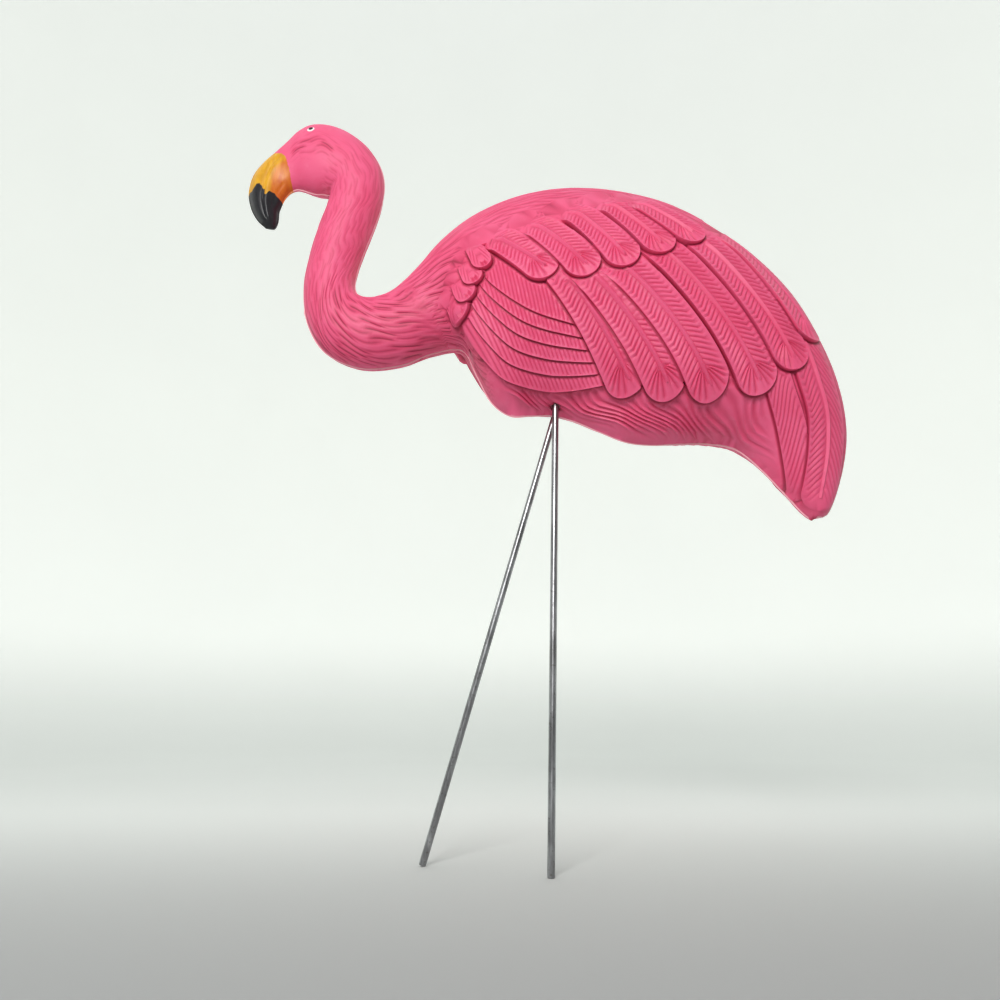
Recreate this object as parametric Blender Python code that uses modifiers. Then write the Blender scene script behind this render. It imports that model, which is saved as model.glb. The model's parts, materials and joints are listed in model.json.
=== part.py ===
"""Pink flamingo lawn ornament: a blow-moulded bird on two steel rods.

The bird looks along -X and its left side is at -Y. Z is up, and the origin is on the ground,
on the plane of symmetry, midway between the ends of the two rods.

The moulding is one body. Its side view lies between two rails, the back and the belly, and its
half width goes along with them. Feathers are lobes laid over each other in rows, and the half
surface is triangulated in the side view, so that every feather edge is a real edge of the mesh.
"""
import math

import bpy
import numpy as np
from mathutils import Vector
from mathutils.geometry import delaunay_2d_cdt

# Driving sizes, in metres
BIRD_LENGTH = 0.602         # bill to back of the tail
BODY_WIDTH = 0.152          # widest, across both wings
STANCE_HEIGHT = 0.404       # underside of the bird above the ground, at the holes
HOLE_X = 0.066              # the holes, ahead of or behind the origin
HOLE_SPACING = 0.023        # from one hole to the other, across the seam
FOOT_STRIDE = 0.107         # ends of the rods, one behind the other
FOOT_SPACING = 0.048        # ends of the rods, side by side
ROD_DIAMETER = 0.00635      # quarter inch rod
SOCKET_DEPTH = 0.100        # how far a rod goes into the bird
SOCKET_CLEARANCE = 0.0003   # between a rod and its socket, all round and at its end
MOUTH_DIAMETER = 0.0095     # wider mouth of each hole
MOUTH_DEPTH = 0.009         # from the underside at the seam to the end of the mouth

# Depths of the carving, in metres
WING_RISE = 0.0030          # wing above the belly
FEATHER_STEP = 0.0016       # one feather's edge above the next feather
QUILL_RISE = 0.0011         # quill above its feather
KNUCKLE_RISE = 0.0022       # lobes at the bend of the wing above the feathers
TAIL_RISE = 0.0012          # tail feathers above the belly
LOCK_DEPTH = 0.0014         # half the depth of the grooves between the locks of the belly
STROKE_DEPTH = 0.0007       # half the depth of the grooves along the neck
BILL_GROOVE = 0.0016        # groove between upper and lower bill

# The drawing of the side view is in millimetres, with the holes at DRAWN_HOLE
DRAWN_LENGTH = 602.0
DRAWN_WIDTH = 152.0
DRAWN_HOLE = (66.0, 404.0)
UNIT = BIRD_LENGTH / DRAWN_LENGTH

# Rails from the tail's tip to the bill's tip: back x, back z, belly x, belly z, half width, keel.
# A keel of 1 is a round underside, and more draws it down to the seam like a boat.
STATIONS = np.array([
    (309, 301, 305, 299, 5, 1.0),
    (321, 308, 296, 307, 13, 1.0),
    (336, 342, 283, 323, 20, 1.1),
    (345, 384, 262, 349, 30, 1.2),
    (342, 430, 240, 369, 42, 1.3),
    (328, 478, 214, 375, 53, 1.4),
    (303, 530, 187, 375, 63, 1.4),
    (267, 574, 158, 374, 70, 1.4),
    (227, 608, 134, 377, 74, 1.4),
    (186, 632, 110, 387, 76, 1.4),
    (145, 645, 86, 398, 76, 1.4),
    (104, 651, 64, 404, 75, 1.4),
    (63, 650, 43, 404, 72, 1.4),
    (22, 640, 23, 404, 67, 1.4),
    (-17, 620, 5, 418, 60, 1.3),
    (-49, 592, -9, 445, 50, 1.2),
    (-73, 561, -24, 474, 40, 1.1),
    (-95, 538, -54, 471, 34, 1.0),
    (-112, 531, -86, 458, 30, 1.0),
    (-124, 531, -125, 455, 29, 1.0),
    (-133, 537, -160, 471, 28, 1.0),
    (-136, 548, -180, 502, 27, 1.0),
    (-134, 565, -187, 540, 26, 1.0),
    (-128, 588, -184, 576, 26, 1.0),
    (-120, 614, -177, 612, 26, 1.0),
    (-113, 642, -170, 638, 26, 1.0),
    (-111, 668, -167, 655, 26, 1.0),
    (-116, 691, -171, 657, 26, 1.0),
    (-129, 713, -176, 658, 26, 1.0),
    (-149, 731, -182, 658, 26, 1.0),
    (-170, 741, -189, 660, 25, 1.0),
    (-190, 743, -197, 663, 22, 1.0),
    (-205, 736, -204, 664, 18, 1.0),
    (-216, 724, -210, 661, 15, 1.0),
    (-229, 710, -214, 656, 13, 1.0),
    (-241, 697, -217, 650, 12, 1.0),
    (-250, 680, -220, 643, 12, 1.0),
    (-252, 660, -223, 635, 11, 1.0),
    (-248, 641, -225, 627, 9, 1.0),
    (-239, 626, -225, 620, 7, 1.0),
    (-230, 617, -225, 616, 3, 1.0),
], dtype=float)
BACK_FULLNESS = 0.95        # below 1 the back is a little fuller than an ellipse
BILL_START = 33.6           # station where the bill begins
BILL_GROOVE_STATIONS = (34.0, 38.8)
BILL_GROOVE_SHARE = 0.56    # the groove's place across the bill, from its ridge
BILL_GROOVE_HALF = 0.06     # half the groove's width, as a share of the bill's depth

# Wing, drawn in the side view: roots and tips of the first, middle and last feathers of a row
BIG_ROW_COUNT = 6
BIG_ROW_ROOTS = ((65, 519), (112, 509), (175, 540), (247, 562))
BIG_ROW_TIPS = ((139, 410), (198, 404), (268, 413), (312, 463))
BIG_HALF_WIDTH = 19.5
BIG_ROOT_SHARE = 0.95       # a feather's width at its root, as a share of its width at its tip
BIG_BOW = 5.0               # how far a long feather bends backwards at its middle
UPPER_ROW_COUNT = 5
UPPER_ROW_ROOTS = ((4, 564), (51, 581), (100, 600), (141, 608))
UPPER_ROW_TIPS = ((64, 514), (112, 514), (159, 531), (203, 553))
UPPER_HALF_WIDTH = 18.0
UPPER_ROOT_SHARE = 0.8
UPPER_BOW = 2.0
KNUCKLE_COUNT = 4
KNUCKLE_ROOTS = ((-15, 560), (-22, 541), (-29, 523), (-34, 506))
KNUCKLE_TIPS = ((1, 526), (-7, 512), (-12, 499), (-18, 486))
KNUCKLE_HALF_WIDTH = 9.5
KNUCKLE_ROOT_SHARE = 0.8
BACK_FADE = (0.04, 0.30)    # shares from back to belly between which the wing rises
FAN_COUNT = 6               # feathers between the wing's lower border and the knuckles
FAN_LOWER = ((-27, 492), (-17, 471), (0, 446), (20, 427), (48, 420), (81, 418), (110, 418))
FAN_UPPER = ((-3, 538), (6, 522), (21, 508), (38, 496), (54, 487), (74, 479), (96, 470))
ROOT_BLEND = 0.3            # share of a feather's length over which its root rises
BOW_SPREAD = (0.15, 0.85)   # where a row's bows lie on half a sine, which is 1 in the middle
QUILL_TOP = 0.12            # half a quill's width, as a share of its feather's half width
QUILL_FOOT = 0.14
QUILL_ENDS = (0.05, 0.96)   # shares of the axis between which a quill runs
FAN_MARGIN = 0.35           # the fan goes on above its upper line, under the upper row
TAIL_AXES = (((260, 446), (270, 402), (283, 350)), ((296, 462), (314, 398), (311, 330)))
TAIL_HALF_WIDTHS = (12.0, 17.0)
TAIL_ROOT_SHARE = 0.8
LOCK_COUNT = 24
LOCK_STARTS = ((6, 428), (84, 412), (176, 398), (262, 400))
LOCK_ENDS = ((26, 407), (112, 394), (204, 380), (284, 338))

# Neck and head, with grooves that run along them
STROKE_COUNT = 7
STROKE_STATIONS = (17.4, 31.0)
STROKE_SHARES = (0.07, 0.93)
STROKE_WAVE = 0.022         # how far a groove swings to either side, as a share of the neck's depth
STROKE_WAVES = 5            # swings along the whole neck

# Fineness of the mesh, drawn millimetres where not a count
ALONG = 74                  # rings between the tail's tip and the bill's tip
AROUND = 9                  # points from back to belly on a ring
STEP_RUN = 1.2              # a feather's edge falls within this width
FAN_DEPTH = 84.0            # from the fan's upper line to its lower line
LINE_SPACING = 11.0         # between points along a feather's edge
CLEAR_OF_LINES = 4.2        # the rings' points keep this far from feather lines
OUTLINE_REACH = 12.0        # a line's point further than this from every sample is off the bird
OUTLINE_MARGIN = 0.02       # lines stop at this share of the body's depth before the outline
LINE_ENDS = (0.02, 0.98)    # shares of a ruled strip between which its lines run
FAN_LINE_POINTS = 12
LOCK_LINE_POINTS = 6
STROKE_LINE_POINTS = 27
GROOVE_LINE_POINTS = 9
AXIS_POINTS = 9             # along a feather's axis, and round its tip
BODY_SAMPLES = (400, 24)    # where a place on the body is first looked for, along and across
FAN_SAMPLES = (80, 24)
LOCK_SAMPLES = (160, 10)
ROD_SIDES = 28
BORE_SIDES = 28
SHARP_ANGLE = 22            # degrees between faces from which their edge is sharp
LEAST_LIFT = 0.0004         # metres off the seam's plane that every inner point keeps

# Colours (linear), roughness and metallic
PINK = (0.86, 0.19, 0.34, 1.0)
STEEL = (0.55, 0.55, 0.55, 1.0)


def curve_points(points, share):
    """Points of a Catmull-Rom curve through a short row of points, at shares from 0 to 1."""
    rows = np.asarray(points, dtype=float)
    return spline(rows, np.asarray(share) * (len(rows) - 1))


def spline(rows, at):
    """Catmull-Rom through the rows at places counted in rows."""
    last = len(rows) - 1
    row = np.clip(np.floor(at).astype(int), 0, last - 1)
    part = (at - row)[:, None]
    padded = np.vstack([2 * rows[0] - rows[1], rows, 2 * rows[-1] - rows[-2]])
    before, start, end, after = (padded[row + step] for step in range(4))
    linear = end - before
    square = 2 * before - 5 * start + 4 * end - after
    cube = 3 * start - before - 3 * end + after
    return 0.5 * (2 * start + linear * part + square * part ** 2 + cube * part ** 3)


def cross(a, b):
    """The flat cross product of two arrays of vectors."""
    return a[:, 0] * b[:, 1] - a[:, 1] * b[:, 0]


class Ruled:
    """A strip of straight lines between two curves: places are (at, share) from curve a to b."""

    def __init__(self, rail_a, rail_b, last, samples):
        self.rail_a = rail_a
        self.rail_b = rail_b
        self.last = last
        along, across = samples
        at, share = np.meshgrid(np.linspace(0, last, along), np.linspace(0, 1, across), indexing="ij")
        self.at = at.ravel()
        self.share = share.ravel()
        self.samples = self.point(self.at, self.share)

    def point(self, at, share):
        """The flat point at a place of the strip."""
        a = self.rail_a(at)
        return a + (self.rail_b(at) - a) * share[:, None]

    def place(self, points):
        """The place of each flat point: the nearest sample, then Newton's method on its line."""
        nearest = np.empty(len(points), dtype=int)
        for first in range(0, len(points), 400):
            gap = points[first:first + 400, None, :] - self.samples[None, :, :]
            nearest[first:first + 400] = (gap ** 2).sum(axis=2).argmin(axis=1)
        at = self.at[nearest]
        probe = 1e-3 * self.last
        for _ in range(6):
            offset = self.offset(points, at)
            slope = (self.offset(points, at + probe) - offset) / probe
            slope = np.where(np.abs(slope) < 1e-9, 1e-9, slope)
            step = np.clip(-offset / slope, -0.5, 0.5)
            at = np.clip(at + step, 0, self.last)
        a = self.rail_a(at)
        line = self.rail_b(at) - a
        share = ((points - a) * line).sum(axis=1) / (line ** 2).sum(axis=1)
        return at, share

    def offset(self, points, at):
        """How far each point is off the line at its place."""
        a = self.rail_a(at)
        line = self.rail_b(at) - a
        return cross(points - a, line) / np.linalg.norm(line, axis=1)


LAST_STATION = len(STATIONS) - 1
BODY = Ruled(lambda at: spline(STATIONS, at)[:, 0:2], lambda at: spline(STATIONS, at)[:, 2:4],
             LAST_STATION, BODY_SAMPLES)
FAN = Ruled(lambda at: curve_points(FAN_UPPER, at), lambda at: curve_points(FAN_LOWER, at), 1.0, FAN_SAMPLES)
LOCKS = Ruled(lambda at: curve_points(LOCK_STARTS, at), lambda at: curve_points(LOCK_ENDS, at),
              1.0, LOCK_SAMPLES)


def body_width(at, share):
    """Half width in metres: an ellipse across the chord, drawn to a keel at the belly."""
    row = spline(STATIONS, at)
    share = np.clip(share, 0, 1)
    sine = 2 * np.sqrt(share * (1 - share))
    power = BACK_FULLNESS + (row[:, 5] - BACK_FULLNESS) * share ** 2
    return row[:, 4] * sine ** power * BODY_WIDTH / DRAWN_WIDTH


class Lobe:
    """One feather in the side view: a bent axis, a half width and a round tip."""

    def __init__(self, root, tip, half_width, bow, root_share, rise, step):
        root = np.array(root, dtype=float)
        tip = np.array(tip, dtype=float)
        run = tip - root
        length = np.linalg.norm(run)
        normal = np.array([-run[1], run[0]]) / length
        end = tip - run / length * half_width
        share = np.linspace(0, 1, AXIS_POINTS)[:, None]
        self.axis = root + (end - root) * share + normal * bow * 4 * share * (1 - share)
        self.set(half_width, root_share, rise, step)

    def set(self, half_width, root_share, rise, step):
        """Keeps the sizes: root_share is the root's width as a share of the tip's."""
        self.half_width = half_width
        self.root_share = root_share
        self.rise = rise
        self.step = step
        legs = np.linalg.norm(np.diff(self.axis, axis=0), axis=1)
        self.travel = np.concatenate([[0], np.cumsum(legs)])

    def coordinates(self, points):
        """Share along the axis, distance to its right (to its left negative), local half width."""
        best = np.full(len(points), np.inf)
        along = np.zeros(len(points))
        side = np.zeros(len(points))
        for k in range(len(self.axis) - 1):
            start = self.axis[k]
            leg = self.axis[k + 1] - start
            share = np.clip(((points - start) @ leg) / (leg @ leg), 0, 1)
            gap = points - start - share[:, None] * leg
            distance = np.linalg.norm(gap, axis=1)
            turn = leg[1] * gap[:, 0] - leg[0] * gap[:, 1]
            closer = distance < best
            best = np.where(closer, distance, best)
            along = np.where(closer, self.travel[k] + share * np.linalg.norm(leg), along)
            side = np.where(closer, np.where(turn < 0, 1, -1), side)
        along = along / self.travel[-1]
        width = self.half_width * (self.root_share + (1 - self.root_share) * along)
        return along, best * side, width

    def inside(self, points):
        """Which points the feather covers."""
        _, across, width = self.coordinates(points)
        return np.abs(across) < width

    def height(self, along, across, width):
        """Height over the body: a feather tilts up to its left edge and rises out of its root."""
        tilt = 0.5 - 0.5 * across / width
        return (self.rise + self.step * tilt) * np.clip(along / ROOT_BLEND, 0, 1)

    def centre_line(self, first, last):
        """Shares from first to last along the axis, with the axis, its way and its left side there."""
        share = np.linspace(first, last, max(3, int(self.travel[-1] / LINE_SPACING)) + 1)
        run = share * self.travel[-1]
        centre = np.column_stack([np.interp(run, self.travel, column) for column in self.axis.T])
        way = np.gradient(centre, axis=0)
        way = way / np.linalg.norm(way, axis=1)[:, None]
        left = np.stack([way[:, 1], -way[:, 0]], axis=1)
        return share, centre, way, left

    def outline(self, grow):
        """The edge, from the root's left side round the tip to its right side."""
        share, centre, way, left = self.centre_line(0.0, 1.0)
        reach = (self.half_width * (self.root_share + (1 - self.root_share) * share) + grow)[:, None]
        turn = np.linspace(0, math.pi, AXIS_POINTS)[1:-1, None]
        tip = centre[-1] + reach[-1] * (left[-1] * np.cos(turn) + way[-1] * np.sin(turn))
        return np.vstack([centre + left * reach, tip, (centre - left * reach)[::-1]])

    def quill(self, across):
        """A line beside the axis."""
        _, centre, _, left = self.centre_line(*QUILL_ENDS)
        return centre + left * across


def feather_row(count, roots, tips, half_width, bow, root_share, rise, step):
    """Lobes at equal shares between a curve of roots and a curve of tips."""
    share = np.linspace(0, 1, count)
    starts = curve_points(roots, share)
    ends = curve_points(tips, share)
    bows = bow * np.sin(np.pi * np.linspace(*BOW_SPREAD, count))
    return [Lobe(starts[k], ends[k], half_width, bows[k], root_share, rise, step) for k in range(count)]


def tail_feathers():
    """Two broad feathers that hang from under the wing to the tail's tip."""
    lobes = []
    for axis, half_width in zip(TAIL_AXES, TAIL_HALF_WIDTHS):
        lobe = Lobe(axis[0], axis[-1], half_width, 0.0, TAIL_ROOT_SHARE, TAIL_RISE, FEATHER_STEP)
        lobe.axis = curve_points(axis, np.linspace(0, 1, AXIS_POINTS))
        lobe.set(half_width, TAIL_ROOT_SHARE, TAIL_RISE, FEATHER_STEP)
        lobes.append(lobe)
    return lobes


TAIL = tail_feathers()
KNUCKLES = feather_row(KNUCKLE_COUNT, KNUCKLE_ROOTS, KNUCKLE_TIPS, KNUCKLE_HALF_WIDTH, 0.0,
                       KNUCKLE_ROOT_SHARE, WING_RISE + KNUCKLE_RISE, FEATHER_STEP)[::-1]
BIG_ROW = feather_row(BIG_ROW_COUNT, BIG_ROW_ROOTS, BIG_ROW_TIPS, BIG_HALF_WIDTH, BIG_BOW,
                      BIG_ROOT_SHARE, WING_RISE, FEATHER_STEP)
UPPER_ROW = feather_row(UPPER_ROW_COUNT, UPPER_ROW_ROOTS, UPPER_ROW_TIPS, UPPER_HALF_WIDTH, UPPER_BOW,
                        UPPER_ROOT_SHARE, WING_RISE + FEATHER_STEP, FEATHER_STEP)
LOBES = TAIL + BIG_ROW + KNUCKLES + UPPER_ROW
FEATHERS_WITH_QUILL = TAIL + BIG_ROW + UPPER_ROW


def fan_height(points):
    """Height of the fan of long feathers, each rising to its lower edge, and which points it covers."""
    at, share = FAN.place(points)
    covered = (share > -FAN_MARGIN) & (share < 1) & (at > 0) & (at < 1)
    band = share * FAN_COUNT
    return WING_RISE + FEATHER_STEP * (band - np.floor(band)), covered


def stroke_swing(at):
    """How far the neck's grooves have swung aside at a station."""
    first, last = STROKE_STATIONS
    return STROKE_WAVE * np.sin(2 * np.pi * STROKE_WAVES * (at - first) / (last - first))


def stroke_height(at, share):
    """Wavy grooves along the neck and the back of the head, dying out at their ends."""
    low, high = STROKE_SHARES
    phase = (share - stroke_swing(at) - low) / (high - low) * STROKE_COUNT
    ends = np.clip(np.minimum(at - STROKE_STATIONS[0], STROKE_STATIONS[1] - at), 0, 1)
    edge = np.clip(np.minimum(share, 1 - share) / low, 0, 1)
    return STROKE_DEPTH * np.cos(2 * np.pi * phase) * ends * edge


def lock_height(points):
    """Grooves between the locks of the belly, which run from the wing to the smooth band."""
    at, share = LOCKS.place(points)
    covered = (share > 0) & (share < 1) & (at > 0) & (at < 1)
    swing = np.cos(2 * np.pi * at * LOCK_COUNT)
    return LOCK_DEPTH * swing * np.sin(np.pi * np.clip(share, 0, 1)), covered


def relief(points, at, share):
    """Height of the carving over the smooth body, in metres, at flat points of the drawing."""
    height, covered = lock_height(points)
    height = np.where(covered, height, 0.0) + stroke_height(at, share)
    fan, covered = fan_height(points)
    height = np.where(covered, fan, height)
    for lobe in LOBES:
        along, across, width = lobe.coordinates(points)
        top = lobe.height(along, across, width)
        if lobe in FEATHERS_WITH_QUILL:
            beside = np.abs(across) < (QUILL_TOP + QUILL_FOOT) / 2 * width
            top = top + np.where(beside & (along < QUILL_ENDS[1]), QUILL_RISE, 0.0)
        height = np.where(np.abs(across) < width, top, height)
    fade = np.clip((share - BACK_FADE[0]) / (BACK_FADE[1] - BACK_FADE[0]), 0, 1)
    fade = np.where(at < STROKE_STATIONS[0], fade * fade * (3 - 2 * fade), 1)
    groove = np.clip(1 - np.abs(share - BILL_GROOVE_SHARE) / BILL_GROOVE_HALF, 0, 1)
    return np.where(at > BILL_START, -BILL_GROOVE * groove, height * fade)


def visible(points, above):
    """Which points none of the lobes above covers."""
    free = np.ones(len(points), dtype=bool)
    for lobe in above:
        free &= ~lobe.inside(points)
    return free


def in_body(points):
    """Which points lie well inside the side view."""
    _, share = BODY.place(points)
    at_line = BODY.samples[((points[:, None, :] - BODY.samples[None, :, :]) ** 2).sum(axis=2).argmin(axis=1)]
    near = np.linalg.norm(points - at_line, axis=1) < OUTLINE_REACH
    return near & (share > OUTLINE_MARGIN) & (share < 1 - OUTLINE_MARGIN)


class Drawing:
    """Flat points and edges for the triangulation."""

    def __init__(self):
        self.points = []
        self.edges = []

    def add_line(self, points, keep=None):
        """Adds a line, broken where its points aren't kept."""
        previous = None
        for k, point in enumerate(points):
            if keep is not None and not keep[k]:
                previous = None
                continue
            self.points.append((float(point[0]), float(point[1])))
            if previous is not None:
                self.edges.append((previous, len(self.points) - 1))
            previous = len(self.points) - 1

    def add_lobes(self):
        """Feather edges as two lines, above and below the step, and quills as three."""
        for k, lobe in enumerate(LOBES):
            above = LOBES[k + 1:]
            for grow in (-STEP_RUN / 2, STEP_RUN / 2):
                line = lobe.outline(grow)
                self.add_line(line, visible(line, above) & in_body(line))
            if lobe in FEATHERS_WITH_QUILL:
                for across in (-QUILL_FOOT, 0.0, QUILL_FOOT):
                    line = lobe.quill(across * lobe.half_width)
                    self.add_line(line, visible(line, above) & in_body(line))

    def add_fan(self):
        """The lower edges of the fan's feathers."""
        at = np.linspace(*LINE_ENDS, FAN_LINE_POINTS)
        half_run = STEP_RUN / 2 / FAN_DEPTH
        for k in range(1, FAN_COUNT + 1):
            for shift in (-half_run, half_run):
                line = FAN.point(at, np.full(len(at), k / FAN_COUNT + shift))
                self.add_line(line, visible(line, LOBES))

    def add_locks(self):
        """A crest line and a groove line for each lock."""
        share = np.linspace(*LINE_ENDS, LOCK_LINE_POINTS)
        for k in range(2 * LOCK_COUNT):
            line = LOCKS.point(np.full(len(share), k / (2 * LOCK_COUNT)), share)
            keep = visible(line, LOBES) & in_body(line) & ~fan_height(line)[1]
            self.add_line(line, keep)

    def add_strokes(self):
        """Crest and groove lines along the neck."""
        at = np.linspace(*STROKE_STATIONS, STROKE_LINE_POINTS)
        low, high = STROKE_SHARES
        for k in range(2 * STROKE_COUNT + 1):
            share = low + (high - low) * k / (2 * STROKE_COUNT) + stroke_swing(at)
            self.add_line(BODY.point(at, share))

    def add_bill_groove(self):
        """Three lines along the side of the bill."""
        at = np.linspace(*BILL_GROOVE_STATIONS, GROOVE_LINE_POINTS)
        for shift in (-BILL_GROOVE_HALF, 0.0, BILL_GROOVE_HALF):
            self.add_line(BODY.point(at, np.full(len(at), BILL_GROOVE_SHARE + shift)))


def side_view():
    """Triangles of the bird's side view, with the feathers' edges among their edges."""
    drawing = Drawing()
    rings = np.linspace(0, LAST_STATION, ALONG)
    back = BODY.point(rings, np.zeros(ALONG))
    belly = BODY.point(rings, np.ones(ALONG))
    drawing.add_line(np.vstack([back, belly[::-1], back[:1]]))
    drawing.add_lobes()
    drawing.add_fan()
    drawing.add_locks()
    drawing.add_strokes()
    drawing.add_bill_groove()
    lines = np.array(drawing.points[2 * ALONG + 1:])
    turn = np.linspace(0, np.pi, AROUND + 2)[1:-1]
    at, angle = np.meshgrid(rings[1:-1], turn, indexing="ij")
    inner = BODY.point(at.ravel(), (1 - np.cos(angle.ravel())) / 2)
    gap = ((inner[:, None, :] - lines[None, :, :]) ** 2).sum(axis=2).min(axis=1)
    free = inner[gap > CLEAR_OF_LINES ** 2]
    flat = [Vector(p) for p in drawing.points] + [Vector(p) for p in free]
    result = delaunay_2d_cdt(flat, drawing.edges, [], 1, 1e-4)
    return np.array([tuple(p) for p in result[0]]), [tuple(face) for face in result[2]]


def border_of(faces, count):
    """Which vertices lie on an edge that only one face has."""
    sides = {}
    for face in faces:
        for k in range(len(face)):
            edge = tuple(sorted((face[k], face[(k + 1) % len(face)])))
            sides[edge] = sides.get(edge, 0) + 1
    border = np.zeros(count, dtype=bool)
    for edge, uses in sides.items():
        if uses == 1:
            border[list(edge)] = True
    return border


def to_world(flat):
    """World x and z of flat points of the drawing, which is scaled about the holes."""
    x = HOLE_X + (flat[:, 0] - DRAWN_HOLE[0]) * UNIT
    z = STANCE_HEIGHT + (flat[:, 1] - DRAWN_HOLE[1]) * UNIT
    return x, z


def make_material(name, colour, roughness, metallic):
    """A Principled material with plain values."""
    material = bpy.data.materials.new(name)
    material.use_nodes = True
    shader = material.node_tree.nodes["Principled BSDF"]
    shader.inputs["Base Color"].default_value = colour
    shader.inputs["Roughness"].default_value = roughness
    shader.inputs["Metallic"].default_value = metallic
    return material


def make_body(collection, material):
    """The moulding: its left half from the side view, mirrored at the seam."""
    flat, faces = side_view()
    border = border_of(faces, len(flat))
    at, share = BODY.place(flat)
    lift = body_width(at, share) + relief(flat, at, share)
    lift = np.where(border, 0.0, np.maximum(lift, LEAST_LIFT))
    x, z = to_world(flat)
    mesh = bpy.data.meshes.new("body")
    mesh.from_pydata(np.column_stack([x, -lift, z]).tolist(), [], faces)
    mesh.materials.append(material)
    mesh.shade_smooth()
    mesh.set_sharp_from_angle(angle=math.radians(SHARP_ANGLE))
    body = bpy.data.objects.new("body", mesh)
    collection.objects.link(body)
    mirror = body.modifiers.new("right half", "MIRROR")
    mirror.use_axis = (False, True, False)
    mirror.use_clip = True
    mirror.merge_threshold = 0.0001
    return body


def leg_line(side):
    """Where a rod meets the underside and the middle of its lower end; side is -1 left, 1 right."""
    hole = Vector((HOLE_X, side * HOLE_SPACING / 2, STANCE_HEIGHT))
    foot = Vector((-side * FOOT_STRIDE / 2, side * FOOT_SPACING / 2, 0.0))
    way = (hole - foot).normalized()
    foot.z = ROD_DIAMETER / 2 * math.sqrt(1 - way.z ** 2)
    return hole, foot


def make_cylinder(name, start, end, diameter, sides, collection):
    """A cylinder with flat ends from one point to another."""
    run = end - start
    bpy.ops.mesh.primitive_cylinder_add(vertices=sides, radius=diameter / 2, depth=run.length)
    cylinder = bpy.context.object
    cylinder.name = name
    cylinder.data.name = name
    cylinder.location = (start + end) / 2
    cylinder.rotation_euler = run.to_track_quat("Z", "Y").to_euler()
    for owner in list(cylinder.users_collection):
        owner.objects.unlink(cylinder)
    collection.objects.link(cylinder)
    return cylinder


def make_leg(name, side, collection, material):
    """A straight rod from its cut end on the ground to the end of its socket."""
    hole, foot = leg_line(side)
    way = (hole - foot).normalized()
    top = hole + way * (SOCKET_DEPTH - SOCKET_CLEARANCE)
    leg = make_cylinder(name, foot, top, ROD_DIAMETER, ROD_SIDES, collection)
    leg.data.materials.append(material)
    leg.data.shade_smooth()
    leg.data.set_sharp_from_angle(angle=math.radians(SHARP_ANGLE))
    return leg


def cut_socket(body, name, side, cutters):
    """A snug socket along the rod's line, with a wider mouth at the underside."""
    hole, foot = leg_line(side)
    way = (hole - foot).normalized()
    below = hole - way * SOCKET_DEPTH / 2
    snug = ROD_DIAMETER + 2 * SOCKET_CLEARANCE
    bores = ((name + "_socket", SOCKET_DEPTH, snug), (name + "_mouth", MOUTH_DEPTH, MOUTH_DIAMETER))
    for cutter_name, depth, diameter in bores:
        cutter = make_cylinder(cutter_name, below, hole + way * depth, diameter, BORE_SIDES, cutters)
        cutter.hide_render = True
        cutter.display_type = "WIRE"
        cut = body.modifiers.new(cutter_name, "BOOLEAN")
        cut.operation = "DIFFERENCE"
        cut.solver = "EXACT"
        cut.object = cutter


def main():
    """Builds the three pieces."""
    for leftover in list(bpy.data.objects):
        bpy.data.objects.remove(leftover)
    ornament = bpy.data.collections.new("flamingo_lawn_ornament")
    cutters = bpy.data.collections.new("cutters")
    bpy.context.scene.collection.children.link(ornament)
    bpy.context.scene.collection.children.link(cutters)
    plastic = make_material("pink_plastic", PINK, 0.5, 0.0)
    steel = make_material("galvanised_steel", STEEL, 0.35, 0.9)
    body = make_body(ornament, plastic)
    for name, side in (("left_leg", -1), ("right_leg", 1)):
        make_leg(name, side, ornament, steel)
        cut_socket(body, name, side, cutters)


main()
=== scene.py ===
# %% [markdown]
# # A pink flamingo lawn ornament
# This lesson dresses a blow-moulded plastic bird that stands on two steel rods.
# The construction model is loaded first and stays fixed: every piece made here sits where it says.
# The bird looks along -X with its left side at -Y, Z is up, and lengths are metres.
# Outlines and carving are drawn in millimetres in the side view, then set to the construction's size.

# %% Load the construction model
import json
import math

import bpy
import numpy as np
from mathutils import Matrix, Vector
from mathutils.geometry import delaunay_2d_cdt


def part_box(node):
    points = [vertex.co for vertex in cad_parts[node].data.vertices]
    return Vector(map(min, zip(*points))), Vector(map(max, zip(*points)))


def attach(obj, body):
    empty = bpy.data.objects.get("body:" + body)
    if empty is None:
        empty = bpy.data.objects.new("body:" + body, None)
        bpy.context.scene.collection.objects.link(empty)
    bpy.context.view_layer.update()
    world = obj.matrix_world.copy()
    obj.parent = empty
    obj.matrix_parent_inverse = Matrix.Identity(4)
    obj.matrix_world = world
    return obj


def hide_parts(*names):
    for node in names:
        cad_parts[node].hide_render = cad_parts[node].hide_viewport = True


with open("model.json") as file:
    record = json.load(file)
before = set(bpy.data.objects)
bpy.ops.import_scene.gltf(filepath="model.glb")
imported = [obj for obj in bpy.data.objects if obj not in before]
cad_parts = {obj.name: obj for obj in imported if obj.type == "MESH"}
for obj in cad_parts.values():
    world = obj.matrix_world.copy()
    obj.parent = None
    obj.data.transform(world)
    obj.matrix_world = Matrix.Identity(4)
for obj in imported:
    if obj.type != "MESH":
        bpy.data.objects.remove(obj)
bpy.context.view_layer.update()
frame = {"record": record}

# %% [markdown]
# ## Curves
# A few given points and a smooth curve through them are enough for a moulded outline.
# Catmull-Rom is the simplest curve that passes through its points, and it works on whole arrays.

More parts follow.
